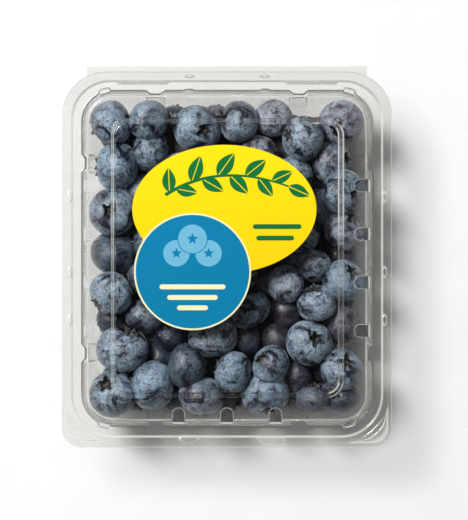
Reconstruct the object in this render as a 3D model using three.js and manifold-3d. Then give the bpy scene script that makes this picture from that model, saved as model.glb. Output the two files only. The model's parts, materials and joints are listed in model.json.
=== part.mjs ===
// A clear hinged clamshell pack of blueberries: tray, lid, label and heap of berries.
// Millimetres, +Z up. The origin is on the ground under the middle of the pack,
// +Y points to the hinge at the back and +X to the right.
import * as THREE from 'three';
import { mergeVertices } from 'three/addons/utils/BufferGeometryUtils.js';
import Module from 'manifold-3d';

// ---- Driving dimensions ----
const PACK_WIDTH = 116;          // over the flanges, along X
const PACK_LENGTH = 134;         // from the front edge to the hinge bead, along Y
const PACK_HEIGHT = 38;          // from the ground to the top of the lid's panel
const RIM_HEIGHT = 27;           // top of the tray's flange
const FLANGE_GAP = 0.3;          // between the tray's flange and the lid's
const SHEET = 0.5;               // thickness of the plastic

// ---- Plan of the body: a rounded rectangle, a little nearer to the front ----
const BODY_HALF_WIDTH = 51;      // foot of the lid's wall
const BODY_HALF_LENGTH = 58.9;
const BODY_LONGER = BODY_HALF_LENGTH - BODY_HALF_WIDTH;
const BODY_MIDDLE_Y = -0.5;
const BODY_CORNER = 11.2;
const CORNER_STEPS = 5;

// ---- Flange ----
const FLANGE_BACK = 65.1;        // the lid's back edge, just short of the hinge bead
const FLANGE_CORNER_BACK = 15.8;
const FLANGE_CORNER_FRONT = 7;
const RIDGE = 54.35;             // half width of the pack at the middle of the flange's ridge
const RIDGE_HEIGHT = 1.2;
const RIDGE_FOOT_HALF = 1.35;
const RIDGE_TOP_HALF = 0.85;
const BEAD_HEIGHT = 1.1;         // the tray's bead stands inside the lid's ridge
const BEAD_FOOT_HALF = 0.6;
const BEAD_TOP_HALF = 0.25;

// ---- Lid ----
const PANEL_RISE = 1.4;          // raised panel over the lid's shoulder
const PANEL_HALF_WIDTH = 40.2;
const PANEL_HALF_LENGTH = 48.3;
const PANEL_CORNER = 5.6;
const PANEL_SLOPE_HALF = 0.6;    // half the width of the slope round the panel
const SHOULDER_HALF_WIDTH = 48.7;
const SHOULDER_BEVEL = 0.6;
const VENT_WIDTH = 4.3;
const VENT_PITCH = 16.9;
const VENT_INNER = 44.4;         // from the middle of the pack to the round end of a side vent
const VENT_LENGTH = 5.7;
const VENT_FLOOR = 31.4;         // how far down the wall a vent is open
const LUG = { x: 43.6, y: 57.6, radius: 2.2, height: 1.5 };
const BUTTON = { x: -13.4, y: -64, halfWidth: 3.9, halfDepth: 1.9, height: 1.6 };
const TAB = { x: 14.9, y: -65.2, halfWidth: 5.2, halfTop: 3.4, halfDepth: 1.1, height: 1.1 };

// ---- Flutes: short inward jogs of the walls ----
const FLUTE_DEPTH = 1.4;
const FLUTE_HALF = 3.5;
const FLUTE_HALF_FLOOR = 1.7;
const SIDE_FLUTE = 33.4;         // along Y from the body's middle, on both long sides
const END_FLUTE = 25.2;          // along X, on the back and the front

// ---- Tray ----
const BASE_HALF_WIDTH = 43.9;    // inside, at the foot of the wall
const BASE_BEVEL = 1.1;          // where the wall turns into the floor
const BASE_PANEL_HALF = 37;
const BASE_PANEL_RISE = 1.2;     // the floor's middle stands clear of the ground
const RIM_BEVEL = 1;             // where the wall turns into the flange
const WALL_TOP = BODY_HALF_WIDTH - SHEET;
const WALL_TOP_LOW = WALL_TOP - 0.6;   // inside, under the rim's bevel

// ---- Hinge ----
const HINGE_RADIUS = 0.8;
const HINGE_Y = PACK_LENGTH / 2 - HINGE_RADIUS;
const HINGE_Z = RIM_HEIGHT + FLANGE_GAP / 2;
const HINGE_HALF_LENGTH = 49.2;
const HINGE_STRIP = 2.4;         // width of the strip between the flange and the bead

// ---- Label: an oval with a round badge over its lower left ----
const LABEL_GAP = 0.02;
const LABEL_THICKNESS = 0.2;
const OVAL = { x: -0.9, y: 16.6, halfWidth: 32.1, halfHeight: 22.4 };
const BADGE = { x: -12, y: -5.2, radius: 20.4 };

// ---- Berries ----
const BERRY_FLATNESS = 0.84;     // height of a berry over its diameter
const BERRY_GAP = 0.35;          // between a berry and the plastic
const HEAP_TOP = 31.2;
const TIERS = { 3: 22.6, 2.5: 20.6, 2: 18.6, 1.5: 16.4 };   // height of a berry's middle
const DRIFT = 1.4;               // how far settling may move a berry sideways
const RISE = 1.8;                // how far it may move a berry up or down
const CONTACT = 0.96;            // distance of touching berries over the sum of their radii

// Upper berries: x, y, diameter, the way the crown faces (turn from +X, angle over the
// level, both in degrees) and tier.
const UPPER_BERRIES = [
  [-40.5, 47.5, 16, 200, -20, 3], [-27.5, 49, 14.5, 155, -55, 3], [-17.5, 52, 12.5, 90, -20, 2],
  [-12, 46.5, 17, -13, 69, 3], [-5, 52, 11, 90, -20, 2], [3.5, 49, 15, 177, 22, 3],
  [16.5, 49, 13.5, 235, -66, 3], [41, 47.5, 16, 237, 62, 3], [-28.5, 37, 15, 165, 5, 2.5],
  [27.5, 42.5, 16, 170, 35, 3], [-41.5, 33, 17, 180, -5, 2.5], [-18, 31, 14.5, 30, 20, 2.5],
  [-4, 31, 14, 120, -30, 2.5], [11, 35.5, 14.5, 90, -60, 2.5], [38.5, 32, 15, 17, 38, 2.5],
  [-30, 22.5, 13.5, 200, 0, 2], [4, 21.5, 14.5, 300, -20, 2.5], [22, 27.5, 14, 200, 50, 2.5],
  [42.5, 24, 16, -10, 55, 3], [-41.5, 14.5, 17, 160, 80, 3], [-23.5, 18, 14.5, 10, 60, 2.5],
  [-10, 18.5, 15, 80, 40, 2.5], [17, 16, 15, 250, 70, 2.5], [33.5, 15.5, 14, 0, -30, 2],
  [-28.5, 6.5, 13.5, 190, -10, 2], [-16, 5, 14, 140, 30, 2.5], [-3, 6.5, 15, 60, -50, 2.5],
  [26.5, 7, 14, 270, -30, 2.5], [42.5, 10, 14.5, 57, 34, 2.5], [-38.5, 1.5, 16.5, 270, -50, 2.5],
  [11, 4, 14.5, 0, 30, 2.5], [24.5, 0.5, 11, 0, -20, 2], [31.5, -3.5, 12.5, -100, 30, 2.5],
  [44, 2.5, 12.5, 65, 40, 1.5], [-41, -11.5, 16, 215, 25, 3], [-31.5, -6, 12.5, 190, 20, 2],
  [-22, -9.5, 14.5, 210, 60, 2.5], [-9, -8, 14, 330, 10, 2.5], [4.5, -6, 14, 100, -70, 2.5],
  [14.5, -9.5, 10.5, 180, 20, 2], [21.5, -11, 13.5, -18, -75, 3], [42, -7, 15, 50, 47, 2.5],
  [-4, -17.5, 13, 260, 40, 2], [6.5, -18, 15, 125, 0, 2.5], [20, -19.5, 12.5, 30, -30, 1.5],
  [33, -17.5, 14, 100, 30, 3], [-42, -21, 12.5, 200, -30, 1.5], [-30, -22.5, 14, 90, -20, 2],
  [-16.5, -21, 13.5, 40, 0, 2], [43, -22, 15, 0, -20, 2], [-35.5, -32.5, 18.5, 75, 25, 3],
  [-22, -34, 11, 200, -30, 1.5], [-19.5, -28.5, 12, 100, 40, 1.5], [-6.5, -29.5, 17.5, 95, 0, 3],
  [6.5, -28, 12, 0, -20, 1.5], [16, -29, 12, 0, -20, 1.5], [27.5, -29.5, 16.5, 34, 67, 3],
  [-13, -40, 16, 0, -10, 3], [1, -40, 15, 165, 5, 3], [14, -39.5, 14, 144, 40, 3],
  [26.5, -43.5, 12.5, 200, -10, 1.5], [36.5, -40.5, 12, 20, 20, 1.5], [42.5, -41, 15.5, 60, 60, 2.5],
  [-41, -48, 17, 125, 50, 3], [-33.5, -52, 12, -70, 50, 1.5], [-27.5, -44, 17.5, 185, 0, 3],
  [-21.5, -50.5, 11, 0, -20, 1.5], [0.5, -52, 11, -35, 40, 1.5], [14, -52, 17, -80, 30, 2.5],
  [43, -52, 12.5, 150, 60, 1.5], [-10.5, -52.5, 16, -90, -10, 2.5], [30, -53, 12, 80, 20, 2],
];

// Lower berries lie in staggered rows on the floor.
const LOWER_ROWS = 7;
const LOWER_PITCH = 14.8;
const LOWER_MEAN = 14.6;
const LOWER_SPREAD = 1.6;
const LOWER_JITTER = 1.5;
const LOWER_MIDDLE = 8.4;        // height of their middles
const SETTLE_PASSES = 60;
const SIDEWAYS = 0.4;            // share of a sideways push that takes effect
const SEED = 4515;

const wasm = await Module();
wasm.setup();

// ---- Solids ----
function toManifold(geometry) {
  const bare = geometry.clone();
  bare.deleteAttribute('normal');
  bare.deleteAttribute('uv');
  const merged = mergeVertices(bare, 1e-4);
  return new wasm.Manifold(new wasm.Mesh({
    numProp: 3,
    vertProperties: new Float32Array(merged.attributes.position.array),
    triVerts: new Uint32Array(merged.index.array),
  }));
}

function toGeometry(manifold) {
  const mesh = manifold.getMesh();
  const geometry = new THREE.BufferGeometry();
  geometry.setAttribute('position', new THREE.BufferAttribute(mesh.vertProperties, 3));
  geometry.setIndex(new THREE.BufferAttribute(mesh.triVerts, 1));
  geometry.computeVertexNormals();
  return geometry;
}

// One closed line round the pack, counterclockwise from above. Every line has the same
// number of points, so that neighbouring lines can be joined by faces.
function packLine({ halfWidth, back, front, cornerBack, cornerFront, flute = 0, z }) {
  const points = [];
  const add = (x, y) => points.push(new THREE.Vector3(x, y, z));
  const alongs = [-FLUTE_HALF, -FLUTE_HALF_FLOOR, FLUTE_HALF_FLOOR, FLUTE_HALF];
  const depths = [0, flute, flute, 0];
  const side = (sign) => {
    for (const place of [-SIDE_FLUTE, SIDE_FLUTE]) {
      alongs.forEach((along, i) => {
        add(sign * (halfWidth - depths[i]), BODY_MIDDLE_Y + sign * (place + along));
      });
    }
  };
  const end = (sign, y) => {
    for (const place of [-END_FLUTE, END_FLUTE]) {
      alongs.forEach((along, i) => add(-sign * (place + along), y - sign * depths[i]));
    }
  };
  const corner = (centreX, centreY, radius, quarter) => {
    for (let i = 0; i <= CORNER_STEPS; i += 1) {
      const angle = (quarter + i / CORNER_STEPS) * Math.PI / 2;
      add(centreX + radius * Math.cos(angle), centreY + radius * Math.sin(angle));
    }
  };
  side(1);
  corner(halfWidth - cornerBack, back - cornerBack, cornerBack, 0);
  end(1, back);
  corner(cornerBack - halfWidth, back - cornerBack, cornerBack, 1);
  side(-1);
  corner(cornerFront - halfWidth, front + cornerFront, cornerFront, 2);
  end(-1, front);
  corner(halfWidth - cornerFront, front + cornerFront, cornerFront, 3);
  return points;
}

// A line parallel to the body's plan, given by its half width.
function bodyLine(halfWidth, z, flute = 0) {
  const inset = BODY_HALF_WIDTH - halfWidth;
  const corner = Math.max(BODY_CORNER - inset, 2);
  return packLine({
    halfWidth,
    back: BODY_MIDDLE_Y + BODY_HALF_LENGTH - inset,
    front: BODY_MIDDLE_Y - BODY_HALF_LENGTH + inset,
    cornerBack: corner,
    cornerFront: corner,
    flute,
    z,
  });
}

// A line of the flange between the body and the flange's edge, which has its own corners.
function flangeLine(halfWidth, z) {
  const share = (halfWidth - BODY_HALF_WIDTH) / (PACK_WIDTH / 2 - BODY_HALF_WIDTH);
  const mix = (from, to) => THREE.MathUtils.lerp(from, to, share);
  return packLine({
    halfWidth,
    back: mix(BODY_MIDDLE_Y + BODY_HALF_LENGTH, FLANGE_BACK),
    front: mix(BODY_MIDDLE_Y - BODY_HALF_LENGTH, -PACK_LENGTH / 2),
    cornerBack: mix(BODY_CORNER, FLANGE_CORNER_BACK),
    cornerFront: mix(BODY_CORNER, FLANGE_CORNER_FRONT),
    z,
  });
}

function panelLine(halfWidth, z) {
  const grow = halfWidth - PANEL_HALF_WIDTH;
  return packLine({
    halfWidth,
    back: BODY_MIDDLE_Y + PANEL_HALF_LENGTH + grow,
    front: BODY_MIDDLE_Y - PANEL_HALF_LENGTH - grow,
    cornerBack: PANEL_CORNER + grow,
    cornerFront: PANEL_CORNER + grow,
    z,
  });
}

// Skins a row of lines from a middle point on the upper face to one on the lower face.
function skin(lines) {
  const count = lines[0].length;
  const firstMiddle = new THREE.Vector3(0, BODY_MIDDLE_Y, lines[0][0].z);
  const lastMiddle = new THREE.Vector3(0, BODY_MIDDLE_Y, lines.at(-1)[0].z);
  const points = [firstMiddle, ...lines.flat(), lastMiddle];
  const last = points.length - 1;
  const faces = [];
  for (let i = 0; i < count; i += 1) {
    const next = (i + 1) % count;
    faces.push(0, 1 + i, 1 + next);
    for (let row = 0; row < lines.length - 1; row += 1) {
      const near = 1 + row * count;
      const far = near + count;
      faces.push(near + i, far + i, far + next, near + i, far + next, near + next);
    }
    const edge = 1 + (lines.length - 1) * count;
    faces.push(edge + i, last, edge + next);
  }
  const geometry = new THREE.BufferGeometry().setFromPoints(points);
  geometry.setIndex(faces);
  return geometry;
}

// ---- Lid ----
function lidSkin() {
  const foot = RIM_HEIGHT + FLANGE_GAP;
  const top = PACK_HEIGHT;
  const shoulder = top - PANEL_RISE;
  const bevel = SHOULDER_BEVEL / 2;
  const edge = PACK_WIDTH / 2;
  const ridge = foot + SHEET + RIDGE_HEIGHT;
  const panelIn = PANEL_HALF_WIDTH - PANEL_SLOPE_HALF;
  const panelOut = PANEL_HALF_WIDTH + PANEL_SLOPE_HALF;
  const thin = SHEET / 2;          // sideways step from a sloped face to the one behind it
  return skin([
    panelLine(panelIn, top),
    panelLine(panelOut, shoulder),
    bodyLine(SHOULDER_HALF_WIDTH - bevel, shoulder),
    bodyLine(SHOULDER_HALF_WIDTH + bevel, shoulder - SHOULDER_BEVEL),
    bodyLine(BODY_HALF_WIDTH, foot + SHEET, FLUTE_DEPTH),
    flangeLine(RIDGE - RIDGE_FOOT_HALF, foot + SHEET),
    flangeLine(RIDGE - RIDGE_TOP_HALF, ridge),
    flangeLine(RIDGE + RIDGE_TOP_HALF, ridge),
    flangeLine(RIDGE + RIDGE_FOOT_HALF, foot + SHEET),
    flangeLine(edge, foot + SHEET),
    flangeLine(edge, foot),
    flangeLine(RIDGE + RIDGE_FOOT_HALF - thin, foot),
    flangeLine(RIDGE + RIDGE_TOP_HALF - thin, ridge - SHEET),
    flangeLine(RIDGE - RIDGE_TOP_HALF + thin, ridge - SHEET),
    flangeLine(RIDGE - RIDGE_FOOT_HALF + thin, foot),
    bodyLine(BODY_HALF_WIDTH - SHEET, foot, FLUTE_DEPTH),
    bodyLine(SHOULDER_HALF_WIDTH + bevel - SHEET, shoulder - SHEET - thin),
    panelLine(panelOut - thin, shoulder - SHEET),
    panelLine(panelIn - thin, top - SHEET),
  ]);
}

// A slot with a round inner end, cut straight down through the shoulder and the wall.
function ventCutter(turn, along, inner) {
  const radius = VENT_WIDTH / 2;
  const outline = new THREE.Shape();
  outline.moveTo(inner + VENT_LENGTH, -radius);
  outline.lineTo(inner + VENT_LENGTH, radius);
  outline.lineTo(inner + radius, radius);
  outline.absarc(inner + radius, 0, radius, Math.PI / 2, Math.PI * 1.5, false);
  const depth = PACK_HEIGHT - VENT_FLOOR;
  const geometry = new THREE.ExtrudeGeometry(outline, { depth, bevelEnabled: false, curveSegments: 4 });
  geometry.translate(0, along, VENT_FLOOR);
  geometry.rotateZ(turn);
  geometry.translate(0, BODY_MIDDLE_Y, 0);
  return toManifold(geometry);
}

function makeLid() {
  let lid = toManifold(lidSkin());
  for (const place of [-1.5, -0.5, 0.5, 1.5]) {
    lid = lid.subtract(ventCutter(0, place * VENT_PITCH, VENT_INNER));
    lid = lid.subtract(ventCutter(Math.PI, place * VENT_PITCH, VENT_INNER));
  }
  for (const place of [-1, 0, 1]) {
    lid = lid.subtract(ventCutter(-Math.PI / 2, place * VENT_PITCH, VENT_INNER + BODY_LONGER));
  }
  for (const lug of cornerLugs()) {
    lid = lid.add(lug);
  }
  return toGeometry(lid.add(frontButton()).add(frontTab()));
}

// Where a piece stands on the lid's flange, sunk half way into the sheet.
const LUG_FOOT = RIM_HEIGHT + FLANGE_GAP + SHEET / 2;

// Small round lugs on the flange, where the wall turns its corners.
function cornerLugs() {
  return [[1, 1], [-1, 1], [1, -1], [-1, -1]].map(([right, back]) => {
    const lug = new THREE.CylinderGeometry(LUG.radius * 0.7, LUG.radius, LUG.height, 10);
    lug.rotateX(Math.PI / 2);
    lug.translate(right * LUG.x, BODY_MIDDLE_Y + back * LUG.y, LUG_FOOT + LUG.height / 2);
    return toManifold(lug);
  });
}

// The half round closing button on the front flange.
function frontButton() {
  const outline = new THREE.Shape();
  outline.absellipse(0, 0, BUTTON.halfWidth, BUTTON.halfDepth, Math.PI, Math.PI * 2, false, 0);
  outline.closePath();
  return frontBoss(outline, BUTTON);
}

// The tapered closing tab on the front flange.
function frontTab() {
  const outline = new THREE.Shape([
    new THREE.Vector2(-TAB.halfWidth, -TAB.halfDepth),
    new THREE.Vector2(TAB.halfWidth, -TAB.halfDepth),
    new THREE.Vector2(TAB.halfTop, TAB.halfDepth),
    new THREE.Vector2(-TAB.halfTop, TAB.halfDepth),
  ]);
  return frontBoss(outline, TAB);
}

function frontBoss(outline, { x, y, height }) {
  const options = { depth: height, bevelEnabled: false, curveSegments: 10 };
  const boss = new THREE.ExtrudeGeometry(outline, options);
  boss.translate(x, y, LUG_FOOT);
  return toManifold(boss);
}

// ---- Tray ----
function traySkin() {
  const top = RIM_HEIGHT;
  const edge = PACK_WIDTH / 2 - 0.1;
  const side = 0.5;                // sideways step through the sloped wall
  return skin([
    bodyLine(BASE_PANEL_HALF, BASE_PANEL_RISE + SHEET),
    bodyLine(BASE_PANEL_HALF + 1.5, SHEET),
    bodyLine(BASE_HALF_WIDTH - 1.4, SHEET),
    bodyLine(BASE_HALF_WIDTH, SHEET + BASE_BEVEL, FLUTE_DEPTH),
    bodyLine(WALL_TOP_LOW, top - RIM_BEVEL, FLUTE_DEPTH),
    bodyLine(WALL_TOP, top, FLUTE_DEPTH),
    flangeLine(RIDGE - BEAD_FOOT_HALF, top),
    flangeLine(RIDGE - BEAD_TOP_HALF, top + BEAD_HEIGHT),
    flangeLine(RIDGE + BEAD_TOP_HALF, top + BEAD_HEIGHT),
    flangeLine(RIDGE + BEAD_FOOT_HALF, top),
    flangeLine(edge, top),
    flangeLine(edge, top - SHEET),
    bodyLine(WALL_TOP + side, top - SHEET, FLUTE_DEPTH),
    bodyLine(WALL_TOP_LOW + side, top - RIM_BEVEL - 0.1, FLUTE_DEPTH),
    bodyLine(BASE_HALF_WIDTH + side, SHEET + BASE_BEVEL - 0.2, FLUTE_DEPTH),
    bodyLine(BASE_HALF_WIDTH - 1.1, 0),
    bodyLine(BASE_PANEL_HALF + 1.2, 0),
    bodyLine(BASE_PANEL_HALF - 0.3, BASE_PANEL_RISE),
  ]);
}

// The hinge bead, and the strip that carries it behind the flange.
function hingeBead() {
  const bead = new THREE.CylinderGeometry(HINGE_RADIUS, HINGE_RADIUS, HINGE_HALF_LENGTH * 2, 12);
  bead.rotateZ(Math.PI / 2);
  bead.translate(0, HINGE_Y, HINGE_Z);
  const strip = new THREE.BoxGeometry(HINGE_HALF_LENGTH * 2 - 0.4, HINGE_STRIP, SHEET - 0.1);
  strip.translate(0, HINGE_Y - HINGE_STRIP / 2, RIM_HEIGHT - SHEET / 2);
  return toManifold(bead).add(toManifold(strip));
}

function makeTray() {
  return toGeometry(toManifold(traySkin()).add(hingeBead()));
}

// ---- Label ----
function makeLabel() {
  const oval = new THREE.Shape();
  oval.absellipse(OVAL.x, OVAL.y, OVAL.halfWidth, OVAL.halfHeight, 0, Math.PI * 2, false, 0);
  const badge = new THREE.Shape();
  badge.absarc(BADGE.x, BADGE.y, BADGE.radius, 0, Math.PI * 2, false);
  const plate = (outline) => {
    const geometry = new THREE.ExtrudeGeometry(outline, {
      depth: LABEL_THICKNESS,
      bevelEnabled: false,
      curveSegments: 22,
    });
    geometry.translate(0, 0, PACK_HEIGHT + LABEL_GAP);
    return toManifold(geometry);
  };
  return toGeometry(plate(oval).add(plate(badge)));
}

// ---- Berries ----
function randomSource(seed) {
  let state = seed;
  return () => {
    state = (state * 9301 + 49297) % 233280;
    return state / 233280;
  };
}

// Half width of the space inside the walls at a height.
function innerHalfWidth(z) {
  const low = SHEET + BASE_BEVEL;
  const share = (z - low) / (RIM_HEIGHT - RIM_BEVEL - low);
  return BASE_HALF_WIDTH + (WALL_TOP_LOW - BASE_HALF_WIDTH) * limit(share, 0, 1);
}

function upperBerries() {
  return UPPER_BERRIES.map(([x, y, diameter, turn, rise, tier]) => {
    const z = TIERS[tier];
    return { x, y, z, homeX: x, homeY: y, homeZ: z, radius: diameter / 2, turn, rise };
  });
}

function lowerBerries(random) {
  const berries = [];
  for (let row = 0; row < LOWER_ROWS; row += 1) {
    const columns = row % 2 ? 5 : 6;
    for (let column = 0; column < columns; column += 1) {
      const radius = (LOWER_MEAN + LOWER_SPREAD * (random() - 0.5)) / 2;
      const x = (column - (columns - 1) / 2) * LOWER_PITCH + LOWER_JITTER * (random() - 0.5);
      const line = (row - (LOWER_ROWS - 1) / 2) * LOWER_PITCH + LOWER_JITTER * (random() - 0.5);
      const y = BODY_MIDDLE_Y + line;
      const turn = 360 * random();
      const rise = 140 * random() - 70;
      const z = LOWER_MIDDLE;
      berries.push({ x, y, z, homeX: x, homeY: y, homeZ: z, radius, turn, rise });
    }
  }
  return berries;
}

function limit(value, low, high) {
  return Math.min(Math.max(value, low), high);
}

// How far a flute pushes a berry off the wall: fully beside it, less to both sides.
function flutePush(along, place, radius) {
  const share = (Math.abs(along) - place) / (FLUTE_HALF + radius / 2);
  return FLUTE_DEPTH * Math.max(1 - share * share, 0);
}

// Moves a berry off the walls, the flutes, the floor and the lid.
function keepInside(berry) {
  const bottom = BASE_PANEL_RISE + SHEET + BERRY_GAP;
  berry.z = limit(berry.z, bottom + berry.radius * 0.95, HEAP_TOP - berry.radius * 0.95);
  const halfWidth = innerHalfWidth(berry.z);
  const corner = BODY_CORNER - (BODY_HALF_WIDTH - halfWidth);
  const coreX = halfWidth - corner;
  const coreY = coreX + BODY_LONGER;
  const inX = coreX - flutePush(berry.y - BODY_MIDDLE_Y, SIDE_FLUTE, berry.radius);
  const inY = coreY - flutePush(berry.x, END_FLUTE, berry.radius);
  const nearX = limit(berry.x, -inX, inX);
  const nearY = BODY_MIDDLE_Y + limit(berry.y - BODY_MIDDLE_Y, -inY, inY);
  const reach = Math.max(corner - berry.radius - BERRY_GAP, 0.1);
  const dx = berry.x - nearX;
  const dy = berry.y - nearY;
  const away = Math.sqrt(dx * dx + dy * dy);
  if (away > reach) {
    berry.x = nearX + dx * reach / away;
    berry.y = nearY + dy * reach / away;
  }
}

// Pushes touching berries apart, mostly up and down, and keeps each near its place.
function settle(berries) {
  for (let pass = 0; pass < SETTLE_PASSES; pass += 1) {
    for (let i = 0; i < berries.length; i += 1) {
      for (let j = i + 1; j < berries.length; j += 1) {
        const a = berries[i];
        const b = berries[j];
        const dx = b.x - a.x;
        const dy = b.y - a.y;
        const dz = b.z - a.z;
        const apart = Math.sqrt(dx * dx + dy * dy + dz * dz);
        const push = (CONTACT * (a.radius + b.radius) - apart) / apart / 2;
        if (push > 0) {
          a.x -= dx * push * SIDEWAYS;
          a.y -= dy * push * SIDEWAYS;
          a.z -= dz * push;
          b.x += dx * push * SIDEWAYS;
          b.y += dy * push * SIDEWAYS;
          b.z += dz * push;
        }
      }
    }
    for (const berry of berries) {
      berry.x = limit(berry.x, berry.homeX - DRIFT, berry.homeX + DRIFT);
      berry.y = limit(berry.y, berry.homeY - DRIFT, berry.homeY + DRIFT);
      berry.z = limit(berry.z, berry.homeZ - RISE, berry.homeZ + RISE);
      keepInside(berry);
    }
  }
  return berries;
}

// A flattened ball with few sides, its short axis towards the crown.
function berrySolid({ x, y, z, radius, turn, rise }) {
  const shows = z > TIERS[1.5] + RISE;
  const ball = shows ? new THREE.IcosahedronGeometry(1, 1) : new THREE.OctahedronGeometry(1, 1);
  ball.scale(radius, radius, radius * BERRY_FLATNESS);
  ball.rotateY(THREE.MathUtils.degToRad(90 - rise));
  ball.rotateZ(THREE.MathUtils.degToRad(turn));
  ball.translate(x, y, z);
  return toManifold(ball);
}

// The block that joins the berries inside the heap.
function heapCore() {
  return toManifold(skin([
    bodyLine(38, 21.5),
    bodyLine(43.5, 18.5),
    bodyLine(40, 6),
    bodyLine(36, 2.6),
  ]));
}

// Lower berries away from the walls are inside the core, which stands for them.
function showsOutside(berry) {
  const wall = innerHalfWidth(berry.z) - 1.3 * LOWER_MEAN;
  const alongY = Math.abs(berry.y - BODY_MIDDLE_Y);
  return berry.z > LOWER_MEAN || Math.abs(berry.x) > wall || alongY > wall + BODY_LONGER;
}

function makeBerries() {
  const random = randomSource(SEED);
  const berries = settle([...upperBerries(), ...lowerBerries(random)]);
  let heap = heapCore();
  for (const berry of berries.filter(showsOutside)) {
    heap = heap.add(berrySolid(berry));
  }
  return toGeometry(heap);
}

// ---- Scene ----
function part(name, geometry, material) {
  const mesh = new THREE.Mesh(geometry, new THREE.MeshStandardMaterial(material));
  mesh.name = name;
  return mesh;
}

const plastic = { color: 0xe8ebe8, roughness: 0.08, metalness: 0, transparent: true, opacity: 0.25 };

const group = new THREE.Group();
group.add(
  part('tray', makeTray(), plastic),
  part('lid', makeLid(), plastic),
  part('label', makeLabel(), { color: 0xfde000, roughness: 0.45, metalness: 0 }),
  part('berries', makeBerries(), { color: 0x5d6d82, roughness: 0.6, metalness: 0 }),
);
export default group;
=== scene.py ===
"""A clear hinged pack of blueberries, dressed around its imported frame.

Metres, +Z up. The origin is on the ground under the middle of the pack, +Y points to the
hinge at the back and +X to the right.
"""
import json
import math

import bpy
import numpy as np
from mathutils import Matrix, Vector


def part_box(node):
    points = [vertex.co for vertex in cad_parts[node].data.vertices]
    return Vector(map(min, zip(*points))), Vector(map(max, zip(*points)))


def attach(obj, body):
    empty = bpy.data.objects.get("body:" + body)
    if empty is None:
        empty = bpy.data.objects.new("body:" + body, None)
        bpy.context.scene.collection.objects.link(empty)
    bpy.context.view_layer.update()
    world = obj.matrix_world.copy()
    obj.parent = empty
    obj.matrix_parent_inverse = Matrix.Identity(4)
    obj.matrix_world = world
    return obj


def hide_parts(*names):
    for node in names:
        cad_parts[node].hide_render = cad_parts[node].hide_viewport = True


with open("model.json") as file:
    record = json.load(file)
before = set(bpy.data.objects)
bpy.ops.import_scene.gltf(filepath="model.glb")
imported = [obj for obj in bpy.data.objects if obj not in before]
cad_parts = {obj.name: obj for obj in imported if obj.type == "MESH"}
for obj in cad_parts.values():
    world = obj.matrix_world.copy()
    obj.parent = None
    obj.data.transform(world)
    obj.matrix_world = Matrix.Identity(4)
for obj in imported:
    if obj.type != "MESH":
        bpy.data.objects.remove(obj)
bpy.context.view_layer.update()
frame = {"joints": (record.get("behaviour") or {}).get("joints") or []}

LID_LOW, LID_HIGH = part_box("lid")
TRAY_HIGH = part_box("tray")[1]
LABEL_LOW, LABEL_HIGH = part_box("label")

# ---- Plan of the pack ----
SHEET = 0.0005  # thickness of the plastic
BODY_HALF_WIDTH = 0.051  # foot of the lid's wall
BODY_HALF_LENGTH = 0.0589
BODY_LONGER = BODY_HALF_LENGTH - BODY_HALF_WIDTH
BODY_MIDDLE_Y = -0.0005
BODY_CORNER = 0.0112
LEAST_BODY_CORNER = 0.002
FLANGE_HALF_WIDTH = LID_HIGH.x
FLANGE_FRONT = LID_LOW.y
FLANGE_BACK = 0.0651
FLANGE_CORNER_BACK = 0.0158
FLANGE_CORNER_FRONT = 0.007
PANEL_HALF_WIDTH = 0.0402  # raised panel on top of the lid
PANEL_HALF_LENGTH = 0.0483
PANEL_CORNER = 0.0056
LEAST_PANEL_CORNER = 0.0005
PANEL_ZONE = 0.044  # lines nearer to the middle than this follow the panel
CORNER_X = BODY_HALF_WIDTH - BODY_CORNER  # middles of the body's corners, from its middle
CORNER_Y = BODY_HALF_LENGTH - BODY_CORNER
STEP_INNER = 0.054  # the flange steps up between these half widths
STEP_OUTER = 0.0549
STEP_END = 0.0552
STEP_HEIGHT = 0.00045

# ---- Flutes: short inward jogs of the walls ----
FLUTE_DEPTH = 0.0014
FLUTE_HALF = 0.0035
FLUTE_HALF_FLOOR = 0.0015
SIDE_FLUTE = 0.0334
END_FLUTE = 0.0252

# ---- Small forms of the lid's wall and flange ----
SIDE_BUMPS = (0.021, -0.0054, -0.0222)  # small bumps over the flange's step, along Y
LUG_OUT = 0.0012  # lugs at the foot of the wall, beside its corners
LUG_HEIGHT = 0.0013
LUG_FADE = 1.4  # they end at this share of their height
LUG_ANGLE = 73  # degrees from the side
LUG_HALF_ANGLE = 12
LUG_FLAT = 0.75  # share of that angle before a lug falls off
FOOT_BUMP_X = 0.0133  # small bumps of the wall's foot at the back
FOOT_BUMP_OUT = 0.0005
FOOT_BUMP_EDGE = (0.0008, 0.0022)
FOOT_FORMS = ((0.051, 0.0532), (1, 0))  # share of the lugs and bumps by half width
LENS_INNER = (0.0195, 0.022)  # the back step starts further in between these two places
LENS_OUTER = (0.0381, 0.0394)
LENS_SHIFT = 0.0009
LENS_SHARE = ((0.0526, 0.0537, 0.0542, 0.0548), (0, 1, 1, 0))  # by half width
RIB_REACH = 0.0171  # ribs across the front corners of the flange
RIB_FADE = 0.0006
RIB_RADII = (0.0171, 0.0189)
RIB_HALF_WIDTH = 0.00045
RIB_HEIGHT = 0.00016
RIB_LINE = 0.0564  # rib beside the rim
RIB_CORNER = 0.0045
# Painted highlight along the ribs' crests.
RIB_HIGHLIGHT = 0.6
RIB_STEPS = (-1, -0.5, 0, 0.5, 1)
RIM_START = 0.0553
RIM_ROWS = (0.0572, 0.0577, 0.0579, FLANGE_HALF_WIDTH)
RIM_EDGE = 0.0578
# Painted highlight along the rim's outer edge.
RIM_HIGHLIGHT = 0.4

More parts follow.
